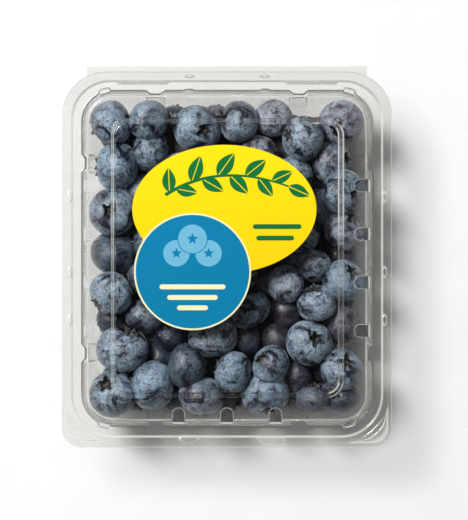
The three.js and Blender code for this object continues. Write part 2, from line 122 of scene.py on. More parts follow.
# ---- Fineness of the shells ----
LINE_STEP = 0.002  # along the straight sides
DETAIL_STEP = 0.00042  # the same at their flutes, tabs and bumps
CORNER_STEPS = 36
ARC_STEPS = 4
SUPPORT = 0.00012  # narrow strip beside each rounded edge, which keeps flats flat
WALL_STEP = 0.0035
FLANGE_STEP = 0.0004
LONG_STRETCH = 0.005  # walls taller than this get their rows mostly near the foot
LONG_STEPS = 8
STEP_SLACK = 0.01  # a stretch may be longer than whole steps by this share of one
LEAST_COSINE = 0.01  # keeps corner_reach's unused values finite
SHARP_ANGLE = 40  # degrees from which an edge is shaded sharp

# ---- Vents in the lid's shoulder ----
VENT_HALF_WIDTH = 0.00215
VENT_PITCH = 0.0169
VENT_INNER = 0.0444
VENT_LENGTH = 0.0057
VENT_FLOOR = 0.0314
SIDE_VENTS = (-1.5, -0.5, 0.5, 1.5)  # places along a side, in pitches from its middle
FRONT_VENTS = (-1, 0, 1)
LIP_WIDTH = 0.00014  # raised lip round each vent
LIP_HEIGHT = 0.0001
LIP_REACH = 0.0482  # lips end where the shoulder turns down
# Painted highlight along the vents' lips.
LIP_HIGHLIGHT = 0.28

# ---- Hinge ----
HINGE_RADIUS = 0.0008
HINGE_Y = TRAY_HIGH.y - HINGE_RADIUS
HINGE_Z = frame["joints"][0]["pos_m"][2]
HINGE_HALF_LENGTH = 0.0492
HINGE_SHEET = 0.0003
HINGE_LAP = 0.0004  # how far the lower sheet reaches under the flanges
HINGE_CLEAR = 0.00015  # from the lid's edge to the upper sheet
HINGE_BEND_STEPS = 13
HINGE_ROWS = 61

# ---- Label ----
OVAL = (-0.0009, 0.0166, 0.0321, 0.0224)  # x, y, half width and half height
BADGE = (-0.012, -0.0052, 0.0204, 0.0204)
BADGE_EDGE = 0.0006
BACKING = 0.00004  # white paper under the print
PRINT_STEP = 0.000025  # each layer of print stands this much over the last
BERRY_STEP = 0.000008  # the same for the printed berries, which overlap
# The printed sprig: ends and bend of its stem, and its leaves as share of the stem, turn from
# the stem in degrees, length and width.
STEM = ((-0.0215, 0.0215), (-0.003, 0.0335), (0.0215, 0.0245))
STEM_HALF_WIDTH = 0.0006
STEM_TAPER = 0.5
LEAVES = [
    (0.04, 62, 0.0085, 0.0044), (0.1, -38, 0.0075, 0.004), (0.24, 52, 0.0095, 0.0048),
    (0.33, -44, 0.0085, 0.0044), (0.46, 48, 0.0098, 0.005), (0.56, -46, 0.0088, 0.0046),
    (0.68, 44, 0.009, 0.0046), (0.78, -42, 0.008, 0.0042), (0.88, 40, 0.0078, 0.004),
    (1.0, -4, 0.008, 0.004),
]
LEAF_RIB = 0.00016
LEAF_LEAN = 0.85  # under 1, a leaf is widest nearer to its stalk
LEAF_FULLNESS = 0.9
# Bars as x, y and half length: green ones on the oval and cream ones on the badge.
BAR_HALF_HEIGHT = 0.00085
OVAL_BARS = [(0.0175, 0.0105, 0.0085), (0.0168, 0.0065, 0.0066)]
BADGE_BARS = [(-0.012, -0.0105, 0.0115), (-0.012, -0.0142, 0.0088), (-0.012, -0.0178, 0.0054)]
# Printed berries on the badge as x, y and radius, and the sizes of their crowns.
BADGE_BERRIES = [(-0.0176, 0.0012, 0.0046), (-0.0064, 0.0012, 0.0046), (-0.012, 0.0062, 0.005)]
STAR_SIZE = 0.42
STAR_WAIST = 0.45
# Each paper's colour at the label's back edge and at its front.
PAPERS = {
    "white": ((0.8, 0.8, 0.78), (0.78, 0.78, 0.76)),
    "yellow": ((0.9, 0.69, 0.004), (0.9, 0.575, 0.001)),
    "blue": ((0.002, 0.2, 0.385), (0.001, 0.185, 0.36)),
    "pale_blue": ((0.16, 0.45, 0.64), (0.14, 0.42, 0.6)),
    "green": ((0.006, 0.155, 0.035), (0.005, 0.14, 0.03)),
    "cream": ((0.84, 0.8, 0.5), (0.82, 0.77, 0.45)),
}

# ---- Berries ----
BERRY_FLATNESS = 0.84
FLATNESS_RANGE = (0.96, 0.08)  # least share of it, and how much more
BERRY_GAP = 0.00035
HEAP_TOP = 0.0312
HEIGHT_SHARE = 0.95  # least half height of a berry that lies on its side, as share of its radius
FLOOR_TOP = 0.0017  # upper face of the tray's floor panel
BASE_HALF_WIDTH = 0.0439
WALL_TOP_LOW = 0.0499
WALL_FOOT = 0.0016
WALL_HEAD = 0.026
TIERS = {3: 0.0226, 2.5: 0.0206, 2: 0.0186, 1.5: 0.0164}  # heights of the berries' middles
# Bloom kept on each tier: the lower tiers get less, a painted shade that darkens the deeper berries.
TIER_SHADED_BLOOM = {3: 1.0, 2.5: 0.9, 2: 0.42, 1.5: 0.14}
LOWER_SHADED_BLOOM = 0.03  # the berries underneath get almost none, a painted shade that makes them dark
SIDE_BLOOM = 0.8  # but skin beside the walls that faces sideways keeps most of it, unshaded
SIDE_PLACE = (0.032, 0.039)  # half widths between which that skin begins
SIDE_FACING = (0.1, 0.5)  # how far up it may face
BARE_SHARE = 0.14  # share of the berries that are nearly bare
BARE_BLOOM = 0.3
LEAST_BLOOM = 0.8  # of the others
LEFT_END = -0.014  # the berries further left are bluer
LEFT_WARMTH = 0.35
DRIFT = 0.0014  # how far a berry may settle sideways from its place
RISE = 0.0018  # the same up and down
CONTACT = 0.96  # least distance of two berries' middles, in shares of their radii together
SIDEWAYS = 0.4  # share of a push that goes sideways
LEAST_REACH = 0.0001
SETTLE_PASSES = 60
LOWER_ROWS = 7
LOWER_COLUMNS = (6, 5)
LOWER_PITCH = 0.0148
LOWER_MEAN = 0.0146
LOWER_SPREAD = 0.0016
LOWER_JITTER = 0.0015
LOWER_MIDDLE = 0.0084
LOWER_TILT = 70  # steepest rise of a crown, in degrees
CORE_TOP = ((0.034, 0.0155), (0.039, 0.0135))  # half widths and heights of the heap's core
CORE_UNDER = ((0.033, 0.0085), (0.0375, 0.0105))
SEED = 4515
DRAW_FACTOR, DRAW_STEP, DRAW_RANGE = 9301, 49297, 233280
LARGE_BERRY = 0.0144  # berries of this diameter or more are the large kind

# Upper berries: x, y and diameter in millimetres, the way the crown faces (turn from +X,
# angle over the level, both in degrees) and tier.
UPPER_BERRIES = [
    (-40.5, 47.5, 16, 200, -20, 3), (-27.5, 49, 14.5, 155, -55, 3), (-17.5, 52, 12.5, 90, -20, 2),
    (-12, 46.5, 17, -13, 69, 3), (-5, 52, 11, 90, -20, 2), (3.5, 49, 15, 177, 22, 3),
    (16.5, 49, 13.5, 235, -66, 3), (41, 47.5, 16, 237, 62, 3), (-28.5, 37, 15, 165, 5, 2.5),
    (27.5, 42.5, 16, 170, 35, 3), (-41.5, 33, 17, 180, -5, 2.5), (-18, 31, 14.5, 30, 20, 2.5),
    (-4, 31, 14, 120, -30, 2.5), (11, 35.5, 14.5, 90, -60, 2.5), (38.5, 32, 15, 17, 38, 2.5),
    (-30, 22.5, 13.5, 200, 0, 2), (4, 21.5, 14.5, 300, -20, 2.5), (22, 27.5, 14, 200, 50, 2.5),
    (42.5, 24, 16, -10, 55, 3), (-41.5, 14.5, 17, 160, 80, 3), (-23.5, 18, 14.5, 10, 60, 2.5),
    (-10, 18.5, 15, 80, 40, 2.5), (17, 16, 15, 250, 70, 2.5), (33.5, 15.5, 14, 0, -30, 2),
    (-28.5, 6.5, 13.5, 190, -10, 2), (-16, 5, 14, 140, 30, 2.5), (-3, 6.5, 15, 60, -50, 2.5),
    (26.5, 7, 14, 270, -30, 2.5), (42.5, 10, 14.5, 57, 34, 2.5), (-38.5, 1.5, 16.5, 270, -50, 2.5),
    (11, 4, 14.5, 0, 30, 2.5), (24.5, 0.5, 11, 0, -20, 2), (31.5, -3.5, 12.5, -100, 30, 2.5),
    (44, 2.5, 12.5, 65, 40, 1.5), (-41, -11.5, 16, 215, 25, 3), (-31.5, -6, 12.5, 190, 20, 2),
    (-22, -9.5, 14.5, 210, 60, 2.5), (-9, -8, 14, 330, 10, 2.5), (4.5, -6, 14, 100, -70, 2.5),
    (14.5, -9.5, 10.5, 180, 20, 2), (21.5, -11, 13.5, -18, -75, 3), (42, -7, 15, 50, 47, 2.5),
    (-4, -17.5, 13, 260, 40, 2), (6.5, -18, 15, 125, 0, 2.5), (20, -19.5, 12.5, 30, -30, 1.5),
    (33, -17.5, 14, 100, 30, 3), (-42, -21, 12.5, 200, -30, 1.5), (-30, -22.5, 14, 90, -20, 2),
    (-16.5, -21, 13.5, 40, 0, 2), (43, -22, 15, 0, -20, 2), (-35.5, -32.5, 18.5, 75, 25, 3),
    (-22, -34, 11, 200, -30, 1.5), (-19.5, -28.5, 12, 100, 40, 1.5), (-6.5, -29.5, 17.5, 95, 0, 3),
    (6.5, -28, 12, 0, -20, 1.5), (16, -29, 12, 0, -20, 1.5), (27.5, -29.5, 16.5, 34, 67, 3),
    (-13, -40, 16, 0, -10, 3), (1, -40, 15, 165, 5, 3), (14, -39.5, 14, 144, 40, 3),
    (26.5, -43.5, 12.5, 200, -10, 1.5), (36.5, -40.5, 12, 20, 20, 1.5), (42.5, -41, 15.5, 60, 60, 2.5),
    (-41, -48, 17, 125, 50, 3), (-33.5, -52, 12, -70, 50, 1.5), (-27.5, -44, 17.5, 185, 0, 3),
    (-21.5, -50.5, 11, 0, -20, 1.5), (0.5, -52, 11, -35, 40, 1.5), (14, -52, 17, -80, 30, 2.5),
    (43, -52, 12.5, 150, 60, 1.5), (-10.5, -52.5, 16, -90, -10, 2.5), (30, -53, 12, 80, 20, 2),
]
MILLIMETRE = 0.001

# ---- Form of one berry, in shares of its radius ----
AROUND = 60
BODY_RINGS = 19
SCAR_RINGS = 4
SCAR_RADIUS = 0.1  # of the stem's scar
SCAR_RISE = 0.05
# Shares of the scar's radius: its flat middle, its edge and the last of the body's rings.
SCAR_FLAT, SCAR_EDGE, SCAR_MARGIN = 0.5, 1.3, 1.6
SCAR_LAST_RING = 0.015
SQUARENESS = 2.25  # 2 is a plain ball
LUMP = 0.022
WAVES = 4
WAVE_SPREAD = 3
SEPALS = 5
SEPAL_HALF_ANGLE = 0.44  # radians
SEPAL_DRIFT = 0.45  # how unevenly the sepals stand, in shares of their pitch
SEPAL_LEAST = 0.45  # length of the shortest, as share of the longest
SEPAL_POWER = 0.8  # 1 is a straight edge
SEPAL_DARK = (0.1, 0.4)  # how much of a sepal makes the skin dark
CREST = 0.205  # radius of the crown's rim between the sepals
SEPAL_REACH = 0.15  # how much further out the rim lies at a sepal
SEPAL_FLARE = 0.09  # how far a sepal's tip leans out beyond the rim
SEPAL_RISE = 0.13
RIM_RISE = 0.02
PIT_DEPTH = 0.19
CROWN_WIDTHS = (0.8, 0.45)  # least width of a crown, and how much wider it may be
CROWN_REACH = 0.55  # where the crown's rings meet the body's
CROWN_HOLLOW = (0.03, 0.45)  # depth and reach of the hollow round the crown
# Rings of the crown: radius in shares of the rim's, share of the pit's depth, share of the
# rim's rise.
CROWN_PROFILE = [
    (0.05, 0.7, 0), (0.16, 1.05, 0), (0.4, 1, 0), (0.6, 0.95, 0), (0.74, 0.7, 0.05), (0.84, 0.3, 0.3),
    (0.92, 0.05, 0.7), (0.98, 0, 0.97), (1.03, 0, 0.93), (1.09, 0, 0.4), (1.15, 0, 0), (1.3, 0, 0),
]
CROWN_INSIDE = 1.05  # rings within this share of the rim's radius are dark all round
CROWN_SPREAD = (0.3, 0.62, 1.0)  # rings from the crown's last to CROWN_REACH

# ---- Camera, light and floor ----
PHOTO_WIDTH, PHOTO_HEIGHT = 468, 520
PIXEL = 0.0003515  # width of a pixel at the flange
CENTRE_PIXEL = (227, 256.75)  # the pixel over the origin
CAMERA_DISTANCE = 1.2
CAMERA_SENSOR = 0.036
KEY_AZIMUTH = 138  # degrees from +X
KEY_ELEVATION = 53
KEY_DISTANCE = 1.5
KEY_SIZE = 0.5
KEY_POWER = 28
FILL_LIGHT = 0.225
STUDIO_TOP = 0.025
STUDIO_SIDES = 0.3
SHEET_BOUNCES = 32
GLOSS_BOUNCES = 16
FLOOR_HALF = 3.0
FLOOR_LEVEL = -0.0002


# ---- Small helpers ----
def new_object(name, vertices, faces, materials):
    mesh = bpy.data.meshes.new(name)
    mesh.from_pydata([tuple(v) for v in vertices], [], [tuple(f) for f in faces])
    mesh.validate()
    for material in materials:
        mesh.materials.append(material)
    obj = bpy.data.objects.new(name, mesh)
    bpy.context.scene.collection.objects.link(obj)
    return obj


def smooth(obj, sharp_degrees=None):
    obj.data.polygons.foreach_set("use_smooth", [True] * len(obj.data.polygons))
    if sharp_degrees is not None:
        obj.data.set_sharp_from_angle(angle=math.radians(sharp_degrees))


def set_values(obj, name, values):
    """One number for each vertex, which a material reads by this name."""
    made = obj.data.attributes.new(name, "FLOAT", "POINT")
    made.data.foreach_set("value", values)


def fade(value, start, end):
    """A smooth step from 0 at start to 1 at end."""
    share = np.clip((value - start) / (end - start), 0, 1)
    return share * share * (3 - 2 * share)


def bridges(near, far, count):
    """Faces between two rings of count points, which start at near and far."""
    return [(near + a, far + a, far + (a + 1) % count, near + (a + 1) % count) for a in range(count)]


# ---- Lines round the pack ----
def side_places(reach, flute, details):
    """Places from -reach to reach, close together at the two flutes and at the details."""
    keys, counts = [-reach], []
    for centre, half in sorted([(-flute, FLUTE_HALF), (flute, FLUTE_HALF), *details]):
        counts.append(math.ceil((centre - half - keys[-1]) / LINE_STEP))
        counts.append(math.ceil(2 * half / DETAIL_STEP))
        keys += [centre - half, centre + half]
    counts.append(math.ceil((reach - keys[-1]) / LINE_STEP))
    keys.append(reach)
    parts = [np.linspace(a, b, n, endpoint=False) for a, b, n in zip(keys, keys[1:], counts)]
    return np.concatenate(parts + [[reach]])


# Details along each side as centre and half length, from the pack's middle.
SIDE_DETAILS = [(y - BODY_MIDDLE_Y, 0.0026) for y in SIDE_BUMPS]
FRONT_DETAILS = [(-0.0134, 0.0046), (0.0151, 0.0062)]
BACK_DETAILS = ((0.0133, 0.0026), (0.0206, 0.0011), (0.0386, 0.001))
SIDE_PLACES = side_places(CORNER_Y, SIDE_FLUTE, SIDE_DETAILS)
FRONT_PLACES = side_places(CORNER_X, END_FLUTE, FRONT_DETAILS)
BACK_PLACES = side_places(
    CORNER_X, END_FLUTE, [(side * x, half) for side in (-1, 1) for x, half in BACK_DETAILS])


def flute_shape(along, middle, flute):
    """1 on a flute's floor, 0 beside the flutes."""
    off = np.abs(np.abs(along - middle) - flute)
    return 1 - fade(off, FLUTE_HALF_FLOOR, FLUTE_HALF)


def corner_reach(angles, across, along, radius):
    """How far a rounded corner lies from a place that its two sides are across and along from."""
    c, s = np.cos(angles), np.sin(angles)
    u, v = across - radius, along - radius
    toward = u * c + v * s
    reach = toward + np.sqrt(np.maximum(toward ** 2 - u * u - v * v + radius * radius, 0))
    reach = np.where(across * s < v * c, across / np.maximum(c, LEAST_COSINE), reach)
    return np.where(along * c < u * s, along / np.maximum(s, LEAST_COSINE), reach)


def pack_line(half_width, back, front, middles, radii, flute=0.0, cap=1.0):
    """A closed line round the pack, counterclockwise from above, and its reach at the front corners.

    middles are how far the corners' middles lie from the pack's; radii are the corners', back
    and front. A cap cuts the front corners to an arc of that radius.
    """
    corner_x, corner_y = middles
    side = BODY_MIDDLE_Y + SIDE_PLACES * corner_y / CORNER_Y
    side_x = half_width - flute * flute_shape(side, BODY_MIDDLE_Y, SIDE_FLUTE)
    rear = BACK_PLACES * corner_x / CORNER_X
    rear_y = back - flute * flute_shape(rear, 0, END_FLUTE)
    fore = FRONT_PLACES * corner_x / CORNER_X
    fore_y = front + flute * flute_shape(fore, 0, END_FLUTE)
    low, high = BODY_MIDDLE_Y - corner_y, BODY_MIDDLE_Y + corner_y
    rising = np.arange(CORNER_STEPS) / CORNER_STEPS * math.pi / 2
    falling = math.pi / 2 - rising

    def corner(side_of, end_of, angles, radius):
        along = back - high if end_of > 0 else low - front
        full = corner_reach(angles, half_width - corner_x, along, radius)
        reach = full if end_of > 0 else np.minimum(full, cap)
        x = side_of * (corner_x + reach * np.cos(angles))
        y = BODY_MIDDLE_Y + end_of * (corner_y + reach * np.sin(angles))
        return np.column_stack([x, y, np.where(end_of > 0, 0, full)])

    def straight(x, y):
        return np.column_stack([x, y, np.zeros(len(x))])

    line = np.vstack([
        straight(side_x, side)[:-1],
        corner(1, 1, rising, radii[0]),
        straight(rear, rear_y)[::-1][:-1],
        corner(-1, 1, falling, radii[0]),
        straight(-side_x, side)[::-1][:-1],
        corner(-1, -1, rising, radii[1]),
        straight(fore, fore_y)[:-1],
        corner(1, -1, falling, radii[1]),
    ])
    return line[:, :2], line[:, 2]


def even_line(half_width, half_length, radius, flute=0.0):
    """A line whose four corners have one radius."""
    return pack_line(
        half_width, BODY_MIDDLE_Y + half_length, BODY_MIDDLE_Y - half_length,
        (half_width - radius, half_length - radius), (radius, radius), flute)[0]


def body_line(half_width, flute=0.0):
    inset = BODY_HALF_WIDTH - half_width
    return even_line(half_width, BODY_HALF_LENGTH - inset, max(BODY_CORNER - inset, LEAST_BODY_CORNER), flute)


def panel_line(half_width):
    grow = half_width - PANEL_HALF_WIDTH
    return even_line(half_width, PANEL_HALF_LENGTH + grow, max(PANEL_CORNER + grow, LEAST_PANEL_CORNER))


def flange_row(half_width, flute=0.0, cap=1.0):
    share = (half_width - BODY_HALF_WIDTH) / (FLANGE_HALF_WIDTH - BODY_HALF_WIDTH)

    def mix(start, end):
        return start + (end - start) * share

    front_radius = np.interp(
        half_width,
        (BODY_HALF_WIDTH, STEP_OUTER, RIB_LINE, FLANGE_HALF_WIDTH),
        (BODY_CORNER, BODY_CORNER + STEP_OUTER - BODY_HALF_WIDTH, RIB_CORNER, FLANGE_CORNER_FRONT))
    back = mix(BODY_MIDDLE_Y + BODY_HALF_LENGTH, FLANGE_BACK)
    front = mix(BODY_MIDDLE_Y - BODY_HALF_LENGTH, FLANGE_FRONT)
    radii = (mix(BODY_CORNER, FLANGE_CORNER_BACK), front_radius)
    line, reach = pack_line(half_width, back, front, (CORNER_X, CORNER_Y), radii, flute, cap)
    return with_back_shift(line, half_width), reach


def with_back_shift(line, half_width):
    """Moves the foot of the back step inwards between LENS_INNER and LENS_OUTER."""
    x, y = line[:, 0], line[:, 1]
    lens = fade(np.abs(x), *LENS_INNER) * (1 - fade(np.abs(x), *LENS_OUTER)) * (y > 0)
    return np.column_stack([x, y - LENS_SHIFT * np.interp(half_width, *LENS_SHARE) * lens])


def outer_line(half_width, flute):
    if half_width > BODY_HALF_WIDTH:
        return flange_row(half_width, flute)[0]
    return body_line(half_width, flute)


def lid_line(half_width, flute):
    if half_width < PANEL_ZONE:
        return panel_line(half_width)
    return outer_line(half_width, flute)


def with_foot_forms(line, half_width, height):
    """Pushes the foot of the lid's wall out at its corner lugs and at two small bumps."""
    share = (1 - fade(height, LUG_HEIGHT, LUG_HEIGHT * LUG_FADE)) * np.interp(half_width, *FOOT_FORMS)
    x, y = line[:, 0], line[:, 1] - BODY_MIDDLE_Y
    turn = np.degrees(np.arctan2(np.abs(y) - CORNER_Y, np.abs(x) - CORNER_X))
    lug = LUG_OUT * (1 - fade(np.abs(turn - LUG_ANGLE), LUG_HALF_ANGLE * LUG_FLAT, LUG_HALF_ANGLE))
    bump = FOOT_BUMP_OUT * (1 - fade(np.abs(np.abs(x) - FOOT_BUMP_X), *FOOT_BUMP_EDGE)) * (y > CORNER_Y)
    turn = np.radians(turn)
    return np.column_stack([
        x + share * lug * np.cos(turn) * np.sign(x),
        line[:, 1] + share * (lug * np.sin(turn) * np.sign(y) + bump),
    ])


# ---- Sections: corners are (half width, height, radius of the rounding) ----
def rounded(corners):
    points = [np.array(corners[0][:2])]
    for before, (across, height, radius), after in zip(corners, corners[1:], corners[2:]):
        corner = np.array((across, height))
        if not radius:
            points.append(corner)
            continue
        to_before = np.array(before[:2]) - corner
        to_after = np.array(after[:2]) - corner
        to_before /= np.linalg.norm(to_before)
        to_after /= np.linalg.norm(to_after)
        half = math.acos(np.clip(to_before @ to_after, -1, 1)) / 2
        reach = radius / math.tan(half)
        bisector = to_before + to_after
        centre = corner + bisector / np.linalg.norm(bisector) * radius / math.sin(half)
        start, end = corner + to_before * reach, corner + to_after * reach
        points.append(start + to_before * SUPPORT)
        for share in np.linspace(0, 1, ARC_STEPS + 1):
            arm = (start - centre) * (1 - share) + (end - centre) * share
            points.append(centre + arm / np.linalg.norm(arm) * radius)
        points.append(end + to_after * SUPPORT)
    points.append(np.array(corners[-1][:2]))
    return points


def with_steps(points):
    """Fills the long straight stretches of a section, most closely on the flange."""
    filled = [points[0]]
    for start, end in zip(points, points[1:]):
        step = FLANGE_STEP if min(start[0], end[0]) > BODY_HALF_WIDTH else WALL_STEP
        length = np.linalg.norm(end - start)
        count = max(1, math.ceil(length / step - STEP_SLACK))
        shares = np.linspace(0, 1, count + 1)[1:]
        if abs(end[1] - start[1]) > LONG_STRETCH:
            shares = 1 - (1 - np.linspace(0, 1, LONG_STEPS + 1)[1:]) ** 2
        filled += [start + (end - start) * share for share in shares]
    return filled


def with_height(line, height, haze_and_painted_lines=0.0, shade=0.0):
    """A row of the shell: x, y, height, the haze with its painted highlight lines, and how dark those lines
    are painted, as painted shade.
    """
    none = np.zeros(len(line))
    return np.column_stack([line, none + height, none + haze_and_painted_lines, none + shade])


def filled_middle(row):
    """Smaller copies of the innermost row, from the middle outwards."""
    middle = np.array([0, BODY_MIDDLE_Y, *row[0][2:]])
    return [middle + (row - middle) * share for share in (0, 0.25, 0.5, 0.75)]


def shell(name, upper, lower, material):
    """A closed sheet between two stacks of rows, each from the middle to the rim."""
    rows = filled_middle(upper[0]) + upper + lower[::-1] + filled_middle(lower[0])[::-1]
    count = len(rows[0])
    rows[0], rows[-1] = rows[0][:1], rows[-1][:1]
    points = np.vstack(rows)
    faces = [(0, 1 + a, 1 + (a + 1) % count) for a in range(count)]
    edge = 1 + (len(rows) - 3) * count
    for near in range(1, edge, count):
        faces += bridges(near, near + count, count)
    faces += [(edge + a, len(points) - 1, edge + (a + 1) % count) for a in range(count)]
    sheet = new_object(name, points[:, :3], faces, [material])
    set_values(sheet, "haze_and_painted_lines", points[:, 3])
    set_values(sheet, "shade", points[:, 4])
    return sheet


# ---- Lid ----
LID_TOP = LID_HIGH.z
LID_FOOT = LID_LOW.z
SHOULDER_TOP = 0.0366
BEVEL = (0.039, 0.0407)  # half widths between which the panel falls to the shoulder
BEVEL_ROWS = (0.0394, 0.0395, 0.0397, 0.0398, 0.0402, 0.04026, 0.04038, 0.04044)
LID_UPPER_SECTION = [
    (0.036, LID_TOP, 0), (BEVEL[0], LID_TOP, 0.0008),
    *[(place, float(np.interp(place, BEVEL, (LID_TOP, SHOULDER_TOP))), 0) for place in BEVEL_ROWS],
    (BEVEL[1], SHOULDER_TOP, 0.0005), (0.04885, SHOULDER_TOP, 0.0008),
    (0.051, LID_FOOT + SHEET, 0.0008), (STEP_INNER, LID_FOOT + SHEET, 0.0003),
    (STEP_OUTER, LID_FOOT + SHEET + STEP_HEIGHT, 0.0003), (STEP_END, LID_FOOT + SHEET + STEP_HEIGHT, 0),
]
LID_LOWER_SECTION = [
    (0.036, LID_TOP - SHEET, 0), (0.0388, LID_TOP - SHEET, 0.0005),
    (0.0405, SHOULDER_TOP - SHEET, 0.001), (0.04845, SHOULDER_TOP - SHEET, 0.0004),
    (0.0505, LID_FOOT, 0.0001), (STEP_INNER, LID_FOOT, 0.0003),
    (STEP_OUTER, LID_FOOT + STEP_HEIGHT, 0.0003), (STEP_END, LID_FOOT + STEP_HEIGHT, 0),
]
LID_FLUTE = ((0.049, 0.051, 0.053), (0, 1, 0))  # share of the flute's depth by half width
# How much white is mixed into the sheet by half width: a slight haze, and painted highlights along the bends
# of the shoulder, the wall's foot and the step, which stand in for the reflections and refractions of those
# bends.
VEIL = 0.06  # slight haze of the flange and the shoulder's edge
LID_HAZE_AND_LINES = (
    (0.044, 0.047, 0.0482, 0.04835, 0.0487, 0.04885, 0.0508, 0.0511, 0.0514, 0.05405, 0.05425,
     0.0547, 0.0548, 0.055),
    (0, VEIL, VEIL, 0.36, 0.36, VEIL, VEIL, 0.17, VEIL, VEIL, 0.5, 0.5, 0.25, VEIL),
)
FOOT_LINE = ((0.0507, 0.05085, 0.05115, 0.0514), (0, 1, 1, 0))  # painted dark line along the wall's foot, as painted shade
FOOT_DARK_LINE = 0.85
LIT_SIDES = (-0.15, 0.25)  # it runs where y less x, in shares of the pack, is over these
BACK_SHADE = 0.55  # how dark the painted lines on the back flange's bends are, as painted shade
# Painted highlights on the upper face of the panel's bends by half width, which stand in for their
# reflections: on its left and ends, on its right, and round its front corner on the right.
PANEL_HIGHLIGHT = (BEVEL_ROWS, (0, 0.5, 0.5, 0.15, 0.15, 0.5, 0.5, 0))
PANEL_RIGHT_HIGHLIGHT = (
    (0.03868, 0.0388, 0.0391, 0.03923, 0.04026, 0.04038, 0.0408, 0.0409),
    (0, 1, 1, 0.15, 0.15, 1, 1, 0),
)
PANEL_CORNER_HIGHLIGHT = (
    (0.0387, 0.0388, 0.03933, 0.0394, 0.0402, 0.04026, 0.0406, 0.0407),
    (0, 1, 1, 0, 0, 1, 1, 0),
)
PANEL_END_HIGHLIGHT = 0.24  # at the panel's ends, as a share of that at its left
LEFT_FRONT_HIGHLIGHT = 0.65  # at the front half of its left, as a share of that at the back
RIGHT_FRONT_HIGHLIGHT = 0.2  # the same on its right
LEFT_FADE = (-0.016, 0.02)  # where these change, along Y
RIGHT_FADE = (0.003, 0.018)
# Turns round the panel's corners, in radians from the side, over which the painted highlight changes.
END_TURN = (0.2, 1.4)
RIGHT_TURN = (0.3, 1.0)
CORNER_TURN = 0.7
CORNER_FADE = (0.45, 0.85)
PAD_EDGE = 0.0006  # how softly a pad rises
# Painted highlight along the edges of the pads and the tab.
PAD_HIGHLIGHT = 0.6

# Formed pads on the lid's flange: x, y, half width, half depth and height.
PADS = [
    (-0.0134, -0.0638, 0.004, 0.0016, 0.0004), (-0.0121, -0.0617, 0.0005, 0.0015, 0.0003),
    (-0.0133, 0.0634, 0.0023, 0.0007, 0.0003), (0.0133, 0.0634, 0.0023, 0.0007, 0.0003),
]
PADS += [(side * 0.0553, y, 0.0011, 0.0024, 0.0003) for side in (-1, 1) for y in SIDE_BUMPS]
TAB = [(0.0095, -0.0632), (0.0132, -0.0664), (0.0199, -0.0664), (0.0207, -0.0632)]
TAB_HEIGHT = 0.0004


def pad_forms(x, y):
    """How far the pads and the opening tab stand over the flange, and the painted highlight lines along their
    edges.
    """
    height, haze_and_painted_lines = np.zeros_like(x), np.zeros_like(x)

    def add(share, top):
        np.maximum(height, top * share, out=height)
        np.maximum(haze_and_painted_lines, PAD_HIGHLIGHT * 4 * share * (1 - share), out=haze_and_painted_lines)

    for middle_x, middle_y, half_width, half_depth, top in PADS:
        off = np.hypot((x - middle_x) / half_width, (y - middle_y) / half_depth)
        edge = PAD_EDGE / min(half_width, half_depth)
        add(1 - fade(off, 1 - edge, 1), top)
    inside = np.full_like(x, 1.0)
    for (x1, y1), (x2, y2) in zip(TAB, TAB[1:] + TAB[:1]):
        side = ((x2 - x1) * (y - y1) - (y2 - y1) * (x - x1)) / math.hypot(x2 - x1, y2 - y1)
        inside = np.minimum(inside, side)
    add(fade(inside, 0, PAD_EDGE), TAB_HEIGHT)
    return height, haze_and_painted_lines


def with_pads(row):
    height, haze_and_painted_lines = pad_forms(row[:, 0], row[:, 1])
    return np.column_stack([row[:, :2], row[:, 2] + height, np.maximum(row[:, 3], haze_and_painted_lines), row[:, 4]])


def share_from(least, value, ends):
    """From least at the first of the ends to 1 at the second."""
    return least + (1 - least) * fade(value, *ends)


def panel_highlights(line, half_width):
    """Painted highlights on the panel's bends: brightest at the back of its right and at its front corner
    there.
    """
    x, y = line[:, 0], line[:, 1] - BODY_MIDDLE_Y
    past_end = np.abs(y) - PANEL_HALF_LENGTH + PANEL_CORNER
    turn = np.arctan2(past_end, np.abs(x) - PANEL_HALF_WIDTH + PANEL_CORNER)
    left = np.interp(half_width, *PANEL_HIGHLIGHT) * (1 - (1 - PANEL_END_HIGHLIGHT) * fade(turn, *END_TURN))
    left = left * share_from(LEFT_FRONT_HIGHLIGHT, y, LEFT_FADE)
    right = np.interp(half_width, *PANEL_RIGHT_HIGHLIGHT) * share_from(RIGHT_FRONT_HIGHLIGHT, y, RIGHT_FADE)
    on_right = (x > 0) * (1 - fade(turn, *RIGHT_TURN))
    corner = (1 - fade(np.abs(turn - CORNER_TURN), *CORNER_FADE)) * (x > 0) * (y < 0)
    corner = corner * np.interp(half_width, *PANEL_CORNER_HIGHLIGHT)
    return np.maximum(left + (right - left) * on_right, corner)


def toward_light(line):
    """1 on the pack's left and back, where a dark line is painted along the bend at the wall's foot as
    painted shade, 0 elsewhere.
    """
    return fade(line[:, 1] / BODY_HALF_LENGTH - line[:, 0] / BODY_HALF_WIDTH, *LIT_SIDES)


def at_back(line):
    return fade(line[:, 1], BODY_MIDDLE_Y + CORNER_Y, BODY_MIDDLE_Y + BODY_HALF_LENGTH)


